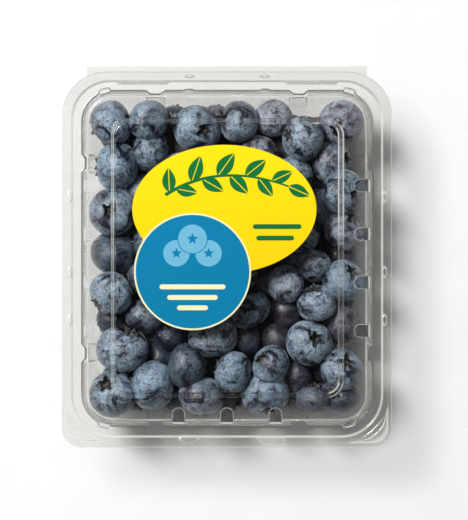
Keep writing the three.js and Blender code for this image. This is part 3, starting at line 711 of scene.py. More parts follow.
def lid_rows(section, flute_shift, foot):
    rows = []
    for half_width, height in with_steps(rounded(section)):
        share = np.interp(half_width + flute_shift, *LID_FLUTE)
        line = lid_line(half_width, FLUTE_DEPTH * share)
        if half_width > PANEL_ZONE:
            line = with_foot_forms(line, half_width, height - foot)
        # A slight haze, with painted highlight lines along the lid's bends.
        haze_and_painted_lines = np.interp(half_width, *LID_HAZE_AND_LINES)
        # The panel's bends get painted highlights.
        if half_width < PANEL_ZONE and foot > LID_FOOT:
            haze_and_painted_lines = panel_highlights(line, half_width)
        # Painted shade: a dark line along the wall's foot on the left and back, and darker painted lines on
        # the back flange.
        dark = np.interp(half_width, *FOOT_LINE) * toward_light(line) * (foot > LID_FOOT)
        haze_and_painted_lines = np.maximum(haze_and_painted_lines, FOOT_DARK_LINE * dark)
        shade = np.maximum(dark, BACK_SHADE * at_back(line) * (half_width > STEP_INNER))
        row = with_height(line, height, haze_and_painted_lines, shade)
        rows.append(with_pads(row) if half_width > STEP_INNER else row)
    return rows + rim_rows(foot + STEP_HEIGHT)


def rim_rows(level):
    """The flange outside its step, with ribs across its front corners."""
    waves = [(RIB_HALF_WIDTH * step, math.cos(step * math.pi / 2) ** 2) for step in RIB_STEPS]
    ribs = [(radius + off, wave) for radius in RIB_RADII for off, wave in waves]
    places = np.linspace(RIM_START, RIB_LINE - RIB_HALF_WIDTH, len(ribs) + 1)[:-1]
    rows = [(place, cap, rib) for place, (cap, rib) in zip(places, ribs)]
    rows += [(RIB_LINE + off, 1, wave) for off, wave in waves]
    rows += [(place, 1, 0) for place in RIM_ROWS]
    made = []
    for half_width, cap, rib in rows:
        line, reach = flange_row(half_width, 0, cap)
        share = rib * fade(reach, RIB_REACH, RIB_REACH + RIB_FADE)
        # Painted highlight lines on the rim's edge and the ribs' crests, darker at the back as painted shade.
        haze_and_painted_lines = RIM_HIGHLIGHT if half_width > RIM_EDGE else VEIL
        row = with_height(line, level, haze_and_painted_lines, BACK_SHADE * at_back(line))
        row[:, 2] += RIB_HEIGHT * share
        row[:, 3] += RIB_HIGHLIGHT * share
        made.append(with_pads(row))
    return made


def stadium(inner, half_width, length, count=17):
    """The outline of a slot with a round inner end, along +X from inner."""
    angles = np.linspace(math.pi / 2, math.pi * 1.5, count)
    end = [(inner + half_width * (1 + math.cos(a)), half_width * math.sin(a)) for a in angles]
    return [(inner + length, -half_width), (inner + length, half_width)] + end


def prism(outline, low, high):
    count = len(outline)
    vertices = [(x, y, low) for x, y in outline] + [(x, y, high) for x, y in outline]
    faces = [tuple(range(count))[::-1], tuple(range(count, 2 * count))]
    faces += [(i, (i + 1) % count, count + (i + 1) % count, count + i) for i in range(count)]
    return vertices, faces


def joined(parts):
    vertices, faces = [], []
    for part_vertices, part_faces in parts:
        base = len(vertices)
        vertices += list(part_vertices)
        faces += [tuple(base + i for i in face) for face in part_faces]
    return vertices, faces


def at_each_vent(outline, low, high):
    """Prisms of an outline drawn for a vent on the right, at all the vents of the sides and front."""
    def placed(turn, along, outward):
        c, s = math.cos(turn), math.sin(turn)
        moved = [(x + outward, y + along) for x, y in outline]
        return prism([(x * c - y * s, x * s + y * c + BODY_MIDDLE_Y) for x, y in moved], low, high)

    sides = [placed(turn, place * VENT_PITCH, 0) for turn in (0, math.pi) for place in SIDE_VENTS]
    front = [placed(-math.pi / 2, place * VENT_PITCH, BODY_LONGER) for place in FRONT_VENTS]
    return joined(sides + front)


def vent_cutters():
    return at_each_vent(stadium(VENT_INNER, VENT_HALF_WIDTH, VENT_LENGTH), VENT_FLOOR, LID_TOP)


def vent_lips():
    reach = LIP_REACH - VENT_INNER
    edge = stadium(VENT_INNER, VENT_HALF_WIDTH, reach)
    away = stadium(VENT_INNER - LIP_WIDTH, VENT_HALF_WIDTH + LIP_WIDTH, reach + LIP_WIDTH)
    outline = away[1:] + away[:1] + edge[:1] + edge[:0:-1]
    return at_each_vent(outline, SHOULDER_TOP, SHOULDER_TOP + LIP_HEIGHT)


def cut(obj, vertices, faces):
    cutter = new_object("cutter", vertices, faces, [])
    modifier = obj.modifiers.new("vents", "BOOLEAN")
    modifier.operation = "DIFFERENCE"
    modifier.solver = "MANIFOLD"
    modifier.object = cutter
    bpy.context.view_layer.objects.active = obj
    bpy.ops.object.modifier_apply(modifier=modifier.name)
    bpy.data.meshes.remove(cutter.data)


def make_lid(material):
    upper = lid_rows(LID_UPPER_SECTION, 0, LID_FOOT + SHEET)
    lower = lid_rows(LID_LOWER_SECTION, SHEET, LID_FOOT)
    lid = shell("lid_shell", upper, lower, material)
    cut(lid, *vent_cutters())
    smooth(lid, SHARP_ANGLE)
    lips = new_object("vent_lips", *vent_lips(), [material])
    # The lips round the vents get a painted highlight line.
    set_values(lips, "haze_and_painted_lines", [LIP_HIGHLIGHT] * len(lips.data.vertices))
    for piece in (lid, lips):
        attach(piece, "lid_body")
        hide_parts("lid")


# ---- Tray ----
RIM = TRAY_HIGH.z - 0.0011  # upper face of the tray's flange
EDGE_TOP = 0.02735  # the same outside its step
TRAY_UPPER_SECTION = [
    (0.034, FLOOR_TOP, 0), (0.037, FLOOR_TOP, 0.0008), (0.0385, SHEET, 0.0005),
    (0.0432, SHEET, 0.0012), (0.05015, RIM, 0.0008), (0.0542, RIM, 0.0003),
    (STEP_OUTER, EDGE_TOP, 0.0003), (0.0579, EDGE_TOP, 0),
]
TRAY_LOWER_SECTION = [
    (0.034, FLOOR_TOP - SHEET, 0), (0.0367, FLOOR_TOP - SHEET, 0.0003), (0.0382, 0, 0.0005),
    (0.0438, 0, 0.0017), (0.05065, RIM - SHEET, 0.0003), (0.0542, RIM - SHEET, 0.0003),
    (STEP_OUTER, EDGE_TOP - SHEET, 0.0003), (0.0579, EDGE_TOP - SHEET, 0),
]
TRAY_FLUTE = ((0.0425, 0.0439, 0.048, 0.0505, 0.0537), (0, 0.25, 0.8, 1, 0))
TRAY_HAZE = ((0.05, 0.0503, 0.0507, 0.051), (0, 0.06, 0.06, 0))


def tray_rows(section, flute_shift):
    rows = []
    for half_width, height in with_steps(rounded(section)):
        line = outer_line(half_width, FLUTE_DEPTH * np.interp(half_width - flute_shift, *TRAY_FLUTE))
        rows.append(with_height(line, height, np.interp(half_width, *TRAY_HAZE)))
    return rows


def hinge_fold():
    """The folded strip behind the flanges: two thin sheets joined by a round bend at the back."""
    turns = np.linspace(-math.pi / 2, math.pi / 2, HINGE_BEND_STEPS)

    def bend(radius, angles):
        return [(HINGE_Y + radius * math.cos(a), HINGE_Z + radius * math.sin(a)) for a in angles]

    outer, inner = bend(HINGE_RADIUS, turns), bend(HINGE_RADIUS - HINGE_SHEET, turns[::-1])
    places = np.linspace(-HINGE_HALF_LENGTH, HINGE_HALF_LENGTH, HINGE_ROWS)
    off = np.maximum(np.abs(places) - (FLANGE_HALF_WIDTH - FLANGE_CORNER_BACK), 0)
    edge = FLANGE_BACK - FLANGE_CORNER_BACK + np.sqrt(FLANGE_CORNER_BACK ** 2 - off ** 2)
    vertices = []
    for x, y in zip(places, edge):
        ring = [(y - HINGE_LAP, outer[0][1]), *outer, (y + HINGE_CLEAR, outer[-1][1])]
        ring += [(y + HINGE_CLEAR, inner[0][1]), *inner, (y - HINGE_LAP, inner[-1][1])]
        vertices += [(x, v, w) for v, w in ring]
    count = len(ring)
    faces = [tuple(range(count))[::-1], tuple(range(len(vertices) - count, len(vertices)))]
    for near in range(0, len(vertices) - count, count):
        far = near + count
        faces += [(near + i, near + (i + 1) % count, far + (i + 1) % count, far + i) for i in range(count)]
    return vertices, faces


def make_tray(material):
    upper = tray_rows(TRAY_UPPER_SECTION, 0)
    lower = tray_rows(TRAY_LOWER_SECTION, SHEET)
    tray = shell("tray_shell", upper, lower, material)
    smooth(tray, SHARP_ANGLE)
    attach(tray, "tray_body")
    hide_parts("tray")
    hinge = new_object("hinge_fold", *hinge_fold(), [material])
    smooth(hinge, SHARP_ANGLE)
    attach(hinge, "tray_body")


# ---- Berries ----
def random_source(seed):
    """Even random numbers from 0 to 1, the same on each run."""
    state = seed
    while True:
        state = (state * DRAW_FACTOR + DRAW_STEP) % DRAW_RANGE
        yield state / DRAW_RANGE


def between(span, draw):
    """A random number from the span's least to least and more together."""
    least, more = span
    return least + more * next(draw)


def jitter(spread, draw):
    """A random number up to half the spread either side of 0."""
    return spread * (next(draw) - 0.5)


def limit(value, low, high):
    return min(max(value, low), high)


def inner_half_width(z):
    share = limit((z - WALL_FOOT) / (WALL_HEAD - WALL_FOOT), 0, 1)
    return BASE_HALF_WIDTH + (WALL_TOP_LOW - BASE_HALF_WIDTH) * share


def berry(x, y, z, radius, turn, rise, bloom_and_shade):
    return {"at": [x, y, z], "home": (x, y, z), "radius": radius, "turn": turn, "rise": rise, "bloom_and_shade": bloom_and_shade}


def upper_berries():
    berries = []
    for x, y, diameter, turn, rise, tier in UPPER_BERRIES:
        radius = diameter * MILLIMETRE / 2
        berries.append(
            berry(x * MILLIMETRE, y * MILLIMETRE, TIERS[tier], radius, turn, rise, TIER_SHADED_BLOOM[tier]))
    return berries


def lower_berries(draw):
    berries = []
    for row in range(LOWER_ROWS):
        columns = LOWER_COLUMNS[row % 2]
        for column in range(columns):
            radius = (LOWER_MEAN + jitter(LOWER_SPREAD, draw)) / 2
            x = (column - (columns - 1) / 2) * LOWER_PITCH + jitter(LOWER_JITTER, draw)
            line = (row - (LOWER_ROWS - 1) / 2) * LOWER_PITCH + jitter(LOWER_JITTER, draw)
            turn = 360 * next(draw)
            rise = 2 * LOWER_TILT * next(draw) - LOWER_TILT
            berries.append(berry(x, BODY_MIDDLE_Y + line, LOWER_MIDDLE, radius, turn, rise, LOWER_SHADED_BLOOM))
    return berries


def flute_push(along, place, radius):
    share = (abs(along) - place) / (FLUTE_HALF + radius / 2)
    return FLUTE_DEPTH * max(1 - share * share, 0)


def keep_inside(one):
    """Moves a berry back between the tray's floor and walls and the top of the heap."""
    x, y, z = one["at"]
    radius = one["radius"]
    z = limit(z, FLOOR_TOP + BERRY_GAP + radius * HEIGHT_SHARE, HEAP_TOP - radius * HEIGHT_SHARE)
    half_width = inner_half_width(z)
    corner = BODY_CORNER - (BODY_HALF_WIDTH - half_width)
    in_x = half_width - corner - flute_push(y - BODY_MIDDLE_Y, SIDE_FLUTE, radius)
    in_y = half_width - corner + BODY_LONGER - flute_push(x, END_FLUTE, radius)
    near_x = limit(x, -in_x, in_x)
    near_y = BODY_MIDDLE_Y + limit(y - BODY_MIDDLE_Y, -in_y, in_y)
    reach = max(corner - radius - BERRY_GAP, LEAST_REACH)
    away = math.hypot(x - near_x, y - near_y)
    if away > reach:
        x = near_x + (x - near_x) * reach / away
        y = near_y + (y - near_y) * reach / away
    one["at"] = [x, y, z]


def settle(berries):
    """Pushes touching berries apart, mostly up and down, and keeps each near its place."""
    for _ in range(SETTLE_PASSES):
        for i, a in enumerate(berries):
            for b in berries[i + 1:]:
                p, q = a["at"], b["at"]
                touch = CONTACT * (a["radius"] + b["radius"])
                dx, dy, dz = q[0] - p[0], q[1] - p[1], q[2] - p[2]
                apart = math.sqrt(dx * dx + dy * dy + dz * dz)
                if apart < touch:
                    push = (touch - apart) / apart / 2
                    for k, step in enumerate((dx * SIDEWAYS, dy * SIDEWAYS, dz)):
                        p[k] -= step * push
                        q[k] += step * push
        for one in berries:
            drifts = (DRIFT, DRIFT, RISE)
            one["at"] = [limit(v, h - d, h + d) for v, h, d in zip(one["at"], one["home"], drifts)]
            keep_inside(one)
    return berries


def body_rings():
    """Distance from the axis and height of the rings from the crown's edge to the stem's scar."""
    stem = math.pi - math.asin(SCAR_RADIUS * SCAR_MARGIN)
    body = np.linspace(math.asin(CROWN_REACH), stem, BODY_RINGS + 2)[1:]
    scar = math.pi - np.arcsin(np.linspace(SCAR_RADIUS * SCAR_EDGE, SCAR_LAST_RING, SCAR_RINGS))
    lean = np.concatenate([body, scar])
    across, up = np.sin(lean), np.cos(lean)
    size = (across ** SQUARENESS + np.abs(up) ** SQUARENESS) ** (-1 / SQUARENESS)
    return across * size, up * size


def sepals(turn, draw):
    """How much of a sepal stands at each turn, from 0 between them to 1 on a long one."""
    share = np.zeros_like(turn)
    for k in range(SEPALS):
        middle = 2 * math.pi * (k + jitter(SEPAL_DRIFT, draw)) / SEPALS
        length = SEPAL_LEAST + (1 - SEPAL_LEAST) * next(draw)
        off = np.abs((turn - middle + math.pi) % (2 * math.pi) - math.pi)
        shape = np.clip(1 - off / SEPAL_HALF_ANGLE, 0, 1) ** SEPAL_POWER
        share = np.maximum(share, length * shape)
    return share


def swelling(across, up, turn, draw):
    """A few broad waves over the skin."""
    swell = np.zeros_like(up)
    for _ in range(WAVES):
        wave = [jitter(WAVE_SPREAD, draw) for _ in range(3)]
        phase = 2 * math.pi * next(draw)
        level = wave[0] * across * np.cos(turn) + wave[1] * across * np.sin(turn) + wave[2] * up
        swell += np.sin(2 * level + phase)
    return 1 + LUMP * swell / 2


def berry_form(one, draw):
    """Vertices of a berry round the origin, crown up, and its masks: dark crown and open pit."""
    turn = np.arange(AROUND) / AROUND * 2 * math.pi
    width = between(CROWN_WIDTHS, draw)
    sepal = sepals(turn, draw)
    rim = width * (CREST + SEPAL_REACH * sepal)
    profile = np.array(CROWN_PROFILE)
    crown = profile[:, :1] * rim
    spread = np.array(CROWN_SPREAD)[:, None]
    crown = np.vstack([crown, crown[-1] * (1 - spread) + CROWN_REACH * spread])
    crown_up = (1 - crown ** SQUARENESS) ** (1 / SQUARENESS)
    body, body_up = (column[:, None] * np.ones(AROUND) for column in body_rings())
    across, up = np.vstack([crown, body]), np.vstack([crown_up, body_up])
    flatness = BERRY_FLATNESS * between(FLATNESS_RANGE, draw)
    scale = swelling(across, up, turn, draw)

    # The pit with the flower's stub, the rim that leans out at each sepal, and the stem's scar.
    extra = np.zeros((len(across) - len(profile), 2))
    depth, rise = np.vstack([profile[:, 1:], extra]).T[:, :, None]
    lift = rise * (RIM_RISE + SEPAL_RISE * sepal) * width - PIT_DEPTH * depth * width
    front = up > 0
    sunk, reach = CROWN_HOLLOW
    hollow = np.where(front, sunk * np.exp(-(across / reach) ** 2), 0)
    scar = 1 - fade(across, SCAR_RADIUS * SCAR_FLAT, SCAR_RADIUS * SCAR_EDGE)
    out = across * scale + rise * SEPAL_FLARE * sepal * width
    up = up * scale * flatness + lift - hollow + np.where(front, 0, SCAR_RISE * scar)

    inside = np.array([1.0 if share < CROWN_INSIDE else 0.0 for share, _, _ in CROWN_PROFILE])
    inside = np.concatenate([inside, np.zeros(len(extra))])[:, None]
    dark = np.maximum(inside, np.where(rise > 0, 1, 0) * fade(sepal, *SEPAL_DARK))
    pit = np.clip(depth, 0, 1) * np.ones(AROUND)
    points = np.stack([out * np.cos(turn), out * np.sin(turn), up], axis=-1).reshape(-1, 3)
    return points * one["radius"], dark.reshape(-1), pit.reshape(-1)


def turned(points, turn, rise, spin):
    """Turns +Z to the way the crown faces, after a spin about it."""
    def about_z(p, angle):
        c, s = math.cos(angle), math.sin(angle)
        return np.column_stack([p[:, 0] * c - p[:, 1] * s, p[:, 0] * s + p[:, 1] * c, p[:, 2]])

    tilt = math.radians(90 - rise)
    c, s = math.cos(tilt), math.sin(tilt)
    p = about_z(points, spin)
    p = np.column_stack([p[:, 0] * c + p[:, 2] * s, p[:, 1], p[:, 2] * c - p[:, 0] * s])
    return about_z(p, math.radians(turn))


def berry_faces():
    rings = len(CROWN_PROFILE) + len(CROWN_SPREAD) + len(body_rings()[0])
    last = (rings - 1) * AROUND
    faces = [tuple(range(AROUND))]
    for near in range(0, last, AROUND):
        faces += bridges(near, near + AROUND, AROUND)
    faces.append(tuple(range(last, last + AROUND))[::-1])
    return faces


def facing_walls(points, at):
    """1 on skin beside a wall that doesn't face up, 0 further in or on top."""
    x, y = points[:, 0] + at[0], points[:, 1] + at[1] - BODY_MIDDLE_Y
    beside = fade(np.maximum(np.abs(x), np.abs(y) - BODY_LONGER), *SIDE_PLACE)
    return beside * (1 - fade(points[:, 2] / np.linalg.norm(points, axis=1), *SIDE_FACING))


def make_berries(name, berries, material, draw):
    parts = []
    values = {"crown": [], "pit": [], "tint": [], "bloom_and_shade": []}
    faces = berry_faces()
    for one in berries:
        points, crown, pit = berry_form(one, draw)
        points = turned(points, one["turn"], one["rise"], 2 * math.pi * next(draw))
        parts.append((points + np.array(one["at"]), faces))
        values["crown"].append(crown)
        values["pit"].append(pit)
        warmth = LEFT_WARMTH if one["at"][0] < LEFT_END else 1
        values["tint"].append(np.full(len(crown), next(draw) * warmth))
        bare = BARE_BLOOM if next(draw) < BARE_SHARE else LEAST_BLOOM + (1 - LEAST_BLOOM) * next(draw)
        # Deeper berries get less bloom, as painted shade.
        bloom_and_shade = np.maximum(one["bloom_and_shade"], SIDE_BLOOM * facing_walls(points, one["at"]))
        values["bloom_and_shade"].append(bloom_and_shade * bare)
    obj = new_object(name, *joined(parts), [material])
    for key, columns in values.items():
        set_values(obj, key, np.concatenate(columns))
    smooth(obj)
    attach(obj, "tray_body")
    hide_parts("berries")


def make_core(material):
    """A dark body in the middle of the heap, between the two layers, which stands in for the shade seen
    through the gaps: painted shade.
    """
    upper, under = (
        [with_height(body_line(half_width), height) for half_width, height in rows]
        for rows in (CORE_TOP, CORE_UNDER))
    core = shell("heap_shade_core", upper, under, material)
    smooth(core)
    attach(core, "tray_body")
    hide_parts("berries")


# ---- Label ----
def arc(x, y, half_width, half_height, angles):
    return [(x + half_width * math.cos(a), y + half_height * math.sin(a)) for a in angles]


def oval_outline(x, y, half_width, half_height, count=120):
    return arc(x, y, half_width, half_height, np.arange(count) / count * 2 * math.pi)


def turned_outline(points, x, y, turn):
    c, s = math.cos(turn), math.sin(turn)
    return [(x + u * c - v * s, y + u * s + v * c) for u, v in points]


def leaf_halves(x, y, turn, length, width, count=12):
    """The two halves of a pointed leaf from its stalk at x, y, either side of its rib."""
    shares = np.linspace(0, 1, count)
    half = LEAF_RIB + width / 2 * np.sin(math.pi * shares ** LEAF_LEAN) ** LEAF_FULLNESS
    edge = [(length * s, h) for s, h in zip(shares, half)] + [(length, LEAF_RIB), (0, LEAF_RIB)]
    upper = [p for i, p in enumerate(edge) if p not in edge[:i]]
    lower = [(u, -v) for u, v in upper]
    return [turned_outline(upper[::-1], x, y, turn), turned_outline(lower, x, y, turn)]


def stem_point(share):
    """A place on the sprig's stem, and the way the stem runs there."""
    start, bend, end = (np.array(p) for p in STEM)
    place = start * (1 - share) ** 2 + bend * 2 * share * (1 - share) + end * share ** 2
    run = (bend - start) * (1 - share) + (end - bend) * share
    return place, math.atan2(run[1], run[0])


def stem_outline(count=24):
    left, right = [], []
    for share in np.linspace(0, 1, count):
        (x, y), turn = stem_point(share)
        half = STEM_HALF_WIDTH * (1 - STEM_TAPER * share)
        left.append((x - half * math.sin(turn), y + half * math.cos(turn)))
        right.append((x + half * math.sin(turn), y - half * math.cos(turn)))
    return right + left[::-1]


def sprig_leaves():
    leaves = []
    for share, turn, length, width in LEAVES:
        (x, y), run = stem_point(share)
        leaves += leaf_halves(x, y, run + math.radians(turn), length, width)
    return leaves


def bar_outline(x, y, half_length, half_height=BAR_HALF_HEIGHT, count=8):
    """A bar with round ends."""
    right = np.linspace(-math.pi / 2, math.pi / 2, count)
    straight = half_length - half_height
    ends = ((x + straight, right), (x - straight, right + math.pi))
    return [point for middle, angles in ends for point in arc(middle, y, half_height, half_height, angles)]


def star_outline(x, y, radius):
    """The crown of a printed berry."""
    angles = np.arange(2 * SEPALS) / SEPALS * math.pi + math.pi / 2
    radii = np.where(np.arange(2 * SEPALS) % 2 == 0, radius, radius * STAR_WAIST)
    return [(x + r * math.cos(a), y + r * math.sin(a)) for a, r in zip(angles, radii)]


def label_outline(count=240):
    """The edge of the oval and the badge together, seen from a place inside both."""
    x, y = ((a + b) / 2 for a, b in zip(OVAL[:2], BADGE[:2]))
    outline = []
    for angle in np.arange(count) / count * 2 * math.pi:
        c, s = math.cos(angle), math.sin(angle)
        far = 0
        for middle_x, middle_y, half_width, half_height in (OVAL, BADGE):
            u, v = (x - middle_x) / half_width, (y - middle_y) / half_height
            p, q = c / half_width, s / half_height
            middle = (u * p + v * q) / (p * p + q * q)
            rest = (u * u + v * v - 1) / (p * p + q * q)
            far = max(far, -middle + math.sqrt(middle * middle - rest))
        outline.append((x + far * c, y + far * s))
    return outline


def print_layer(name, outlines, low, high, material):
    obj = new_object(name, *joined([prism(outline, low, high) for outline in outlines]), [material])
    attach(obj, "lid_body")
    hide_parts("label")


def make_label(papers):
    """One sticker: white backing, a yellow oval with a sprig, and a blue badge with berries."""
    low = LABEL_LOW.z
    base = low + BACKING
    first, second, third, fourth, fifth, top = (LABEL_HIGH.z - PRINT_STEP * k for k in range(5, -1, -1))
    x, y, radius, _ = BADGE
    disc = oval_outline(x, y, radius - BADGE_EDGE, radius - BADGE_EDGE)
    oval_bars, badge_bars = ([bar_outline(*bar) for bar in bars] for bars in (OVAL_BARS, BADGE_BARS))
    layers = [
        ("backing", [label_outline()], low, base, "white"),
        ("oval", [oval_outline(*OVAL)], base, first, "yellow"),
        ("stem", [stem_outline()], first, third, "green"),
        ("leaves", sprig_leaves(), first, second, "green"),
        ("oval_bars", oval_bars, first, second, "green"),
        ("ring", [oval_outline(*BADGE)], base, third, "cream"),
        ("badge", [disc], third, fourth, "blue"),
        ("badge_bars", badge_bars, fourth, fifth, "cream"),
    ]
    for k, (x, y, radius) in enumerate(BADGE_BERRIES):
        edge, face = (oval_outline(x, y, r, r, 48) for r in (radius + BADGE_EDGE / 2, radius))
        level = fourth + BERRY_STEP * (2 * k + 1)
        layers.append((f"berry_edge_{k + 1}", [edge], fourth, level, "blue"))
        layers.append((f"berry_{k + 1}", [face], level, level + BERRY_STEP, "pale_blue"))
    stars = [star_outline(x, y, radius * STAR_SIZE) for x, y, radius in BADGE_BERRIES]
    layers.append(("berry_crowns", stars, fourth, top, "blue"))
    for name, outlines, under, over, paper in layers:
        print_layer(f"label_{name}", outlines, under, over, papers[paper])


# ---- Shader nodes ----
def new_material(name):
    material = bpy.data.materials.new(name)
    material.use_nodes = True
    material.node_tree.nodes.clear()
    return material, material.node_tree


def fill(tree, socket, value):
    """Links another node's output to the socket, or sets a number or colour on it."""
    if isinstance(value, bpy.types.NodeSocket):
        tree.links.new(value, socket)
    else:
        socket.default_value = value


def node(tree, kind, inputs=(), **settings):
    """A shader node; inputs gives its sockets, by name or number, their values or links."""
    made = tree.nodes.new(kind)
    for key, value in settings.items():
        setattr(made, key, value)
    for key, value in dict(inputs).items():
        fill(tree, made.inputs[key], value)
    return made


def coordinates(tree):
    return node(tree, "ShaderNodeTexCoord").outputs["Object"]


def attribute(tree, name):
    return node(tree, "ShaderNodeAttribute", attribute_name=name).outputs["Fac"]


def noise(tree, vector, scale, detail, roughness=0.5, distortion=0.0):
    return node(tree, "ShaderNodeTexNoise", {
        "Vector": vector, "Scale": scale, "Detail": detail, "Roughness": roughness,
        "Distortion": distortion}).outputs["Fac"]


def maths(tree, operation, *values, clamp=False):
    made = node(tree, "ShaderNodeMath", dict(enumerate(values)), operation=operation, use_clamp=clamp)
    return made.outputs["Value"]


def grey(value):
    return (value, value, value)


def ramp(tree, source, stops):
    """Colours, or greys given as numbers, by the source's value."""
    made = node(tree, "ShaderNodeValToRGB", {"Fac": source})
    elements = made.color_ramp.elements
    while len(elements) < len(stops):
        elements.new(0.5)
    for element, (position, colour) in zip(elements, stops):
        element.position = position
        element.color = (*(colour if isinstance(colour, tuple) else grey(colour)), 1)
    return made.outputs["Color"]


def mix_colour(tree, share, first, second, blend="MIX"):
    made = node(tree, "ShaderNodeMix", data_type="RGBA", blend_type=blend)
    fill(tree, made.inputs["Factor"], share)
    for socket, value in zip([s for s in made.inputs if s.type == "RGBA"], (first, second)):
        fill(tree, socket, (*value, 1) if isinstance(value, tuple) else value)
    return [s for s in made.outputs if s.type == "RGBA"][0]


def mix_shader(tree, share, first, second):
    return node(tree, "ShaderNodeMixShader", {0: share, 1: first, 2: second}).outputs["Shader"]


def bump(tree, height, strength, distance):
    inputs = {"Height": height, "Strength": strength, "Distance": distance}
    return node(tree, "ShaderNodeBump", inputs).outputs["Normal"]


def finish_material(tree, surface):
    node(tree, "ShaderNodeOutputMaterial", {"Surface": surface})


def shader(tree, kind, inputs):
    return node(tree, f"ShaderNodeBsdf{kind}", inputs).outputs["BSDF"]


# ---- Materials ----
def plastic_material():
    """Clear sheet with a slight haze, and with painted highlights and painted shade along its bends that
    stand in for their reflections and refractions. It bends the view through it, but light passes straight
    on.
    """
    material, tree = new_material("clear_plastic")
    coords = coordinates(tree)
    glass = shader(tree, "Glass", {
        "Color": (0.985, 0.985, 0.976, 1),
        "Roughness": 0.0,
        "IOR": 1.5,
        "Normal": bump(tree, noise(tree, coords, 90, 2, 0.45), 0.1, 0.0004),
    })
    # The colour mixed in: white for the haze and the painted highlights, dark where the lines are painted
    # shade.
    haze_and_line_colour = mix_colour(tree, attribute(tree, "shade"), (0.68, 0.685, 0.655), (0.1, 0.1, 0.095))
    white = shader(tree, "Diffuse", {"Color": haze_and_line_colour})
    # White is mixed in where the sheet is hazy and along the painted highlight lines.
    grain = ramp(tree, noise(tree, coords, 1600, 2), [(0.3, 0.88), (0.6, 1.0)])
    haze_and_painted_lines = maths(tree, "MULTIPLY", attribute(tree, "haze_and_painted_lines"), grain)
    sheet = mix_shader(tree, haze_and_painted_lines, glass, white)

    # The more the light grazes the sheet, the less of it passes.
    facing = node(tree, "ShaderNodeLayerWeight", {"Blend": 0.5}).outputs["Facing"]
    lost = maths(tree, "MULTIPLY", maths(tree, "POWER", facing, 5), 0.9)
    clear = shader(tree, "Transparent", {"Color": maths(tree, "SUBTRACT", 0.955, lost)})
    path = node(tree, "ShaderNodeLightPath").outputs
    straight = maths(tree, "MAXIMUM", path["Is Shadow Ray"], path["Is Diffuse Ray"])
    finish_material(tree, mix_shader(tree, straight, sheet, clear))
    return material


def berry_material():
    """Navy skin under a pale bloom that is rubbed off in patches and specks, and thinned on the deeper
    berries as painted shade.
    """
    material, tree = new_material("berry_skin")
    coords = coordinates(tree)
    hue = attribute(tree, "tint")
    patches = noise(tree, coords, 150, 4, 0.62, 0.9)
    smears = noise(tree, coords, 420, 4, 0.68, 1.2)
    specks = noise(tree, coords, 1400, 3, 0.62)
    grains = noise(tree, coords, 3000, 2)

    # Bloom, from 0 where the skin is bare to 1 where it is thickest, and less on the deeper berries as
    # painted shade.
    sparse = ramp(tree, noise(tree, coords, 260, 2), [(0.42, 0.7), (0.56, 0.0)])
    speckled = maths(tree, "MAXIMUM", ramp(tree, specks, [(0.37, 0.0), (0.45, 1.0)]), sparse)
    patchy = ramp(tree, patches, [(0.39, 0.0), (0.48, 0.6), (0.6, 1.0)])
    smeared = ramp(tree, smears, [(0.36, 0.1), (0.48, 0.75), (0.6, 1.0)])
    bloom_and_shade = maths(tree, "MULTIPLY", attribute(tree, "bloom_and_shade"), patchy)
    bloom_and_shade = maths(tree, "MULTIPLY", bloom_and_shade, smeared)
    bloom_and_shade = maths(tree, "MULTIPLY", bloom_and_shade, speckled, clamp=True)

    skin = ramp(tree, hue, [
        (0.0, (0.0065, 0.0085, 0.021)), (0.5, (0.0105, 0.011, 0.023)), (1.0, (0.0245, 0.0132, 0.0215))])
    powder = ramp(tree, hue, [
        (0.0, (0.244, 0.407, 0.56)), (0.55, (0.325, 0.424, 0.553)), (1.0, (0.386, 0.42, 0.537))])
    dusty = ramp(tree, grains, [(0.42, 0.05), (0.62, 0.45)])
    powder = mix_colour(tree, dusty, powder, (0.604, 0.672, 0.728))
    colour = mix_colour(tree, bloom_and_shade, skin, powder)

    # The crown is dry and nearly black, with a brown pit.
    brown = ramp(tree, specks, [(0.46, (0.002, 0.0015, 0.0015)), (0.7, (0.03, 0.013, 0.01))])
    black = ramp(tree, specks, [(0.4, (0.0015, 0.0015, 0.002)), (0.75, (0.008, 0.006, 0.007))])
    pit = ramp(tree, attribute(tree, "pit"), [(0.6, 0.0), (0.95, 1.0)])
    inside = mix_colour(tree, pit, black, brown)
    colour = mix_colour(tree, attribute(tree, "crown"), colour, inside)
    finish_material(tree, shader(tree, "Principled", {
        "Base Color": colour,
        "Roughness": ramp(tree, bloom_and_shade, [(0.0, 0.25), (0.6, 0.6)]),
        "Specular IOR Level": 0.5,
        "Sheen Weight": maths(tree, "MULTIPLY", bloom_and_shade, 0.6),
        "Sheen Roughness": 0.28,
        "Normal": bump(tree, maths(tree, "MULTIPLY_ADD", specks, 0.5, smears), 0.9, 0.0004),
    }))
    return material


def paper_material(name, back, front):
    """Printed paper, from one colour at the label's back edge to another at its front."""
    material, tree = new_material(name)
    coords = coordinates(tree)
    along = node(tree, "ShaderNodeSeparateXYZ", {"Vector": coords}).outputs["Y"]
    place = node(tree, "ShaderNodeMapRange", {
        "Value": along, "From Min": LABEL_LOW.y, "From Max": LABEL_HIGH.y}).outputs["Result"]
    mottle = ramp(tree, noise(tree, coords, 260, 3, 0.6), [(0.3, 0.965), (0.7, 1.0)])
    colour = ramp(tree, place, [(0.2, front), (0.9, back)])
    finish_material(tree, shader(tree, "Principled", {
        "Base Color": mix_colour(tree, 1.0, colour, mottle, "MULTIPLY"),
        "Roughness": 0.38,
        "Specular IOR Level": 0.12,
        "Normal": bump(tree, noise(tree, coords, 3500, 3, 0.6), 0.08, 0.0001),
    }))
    return material


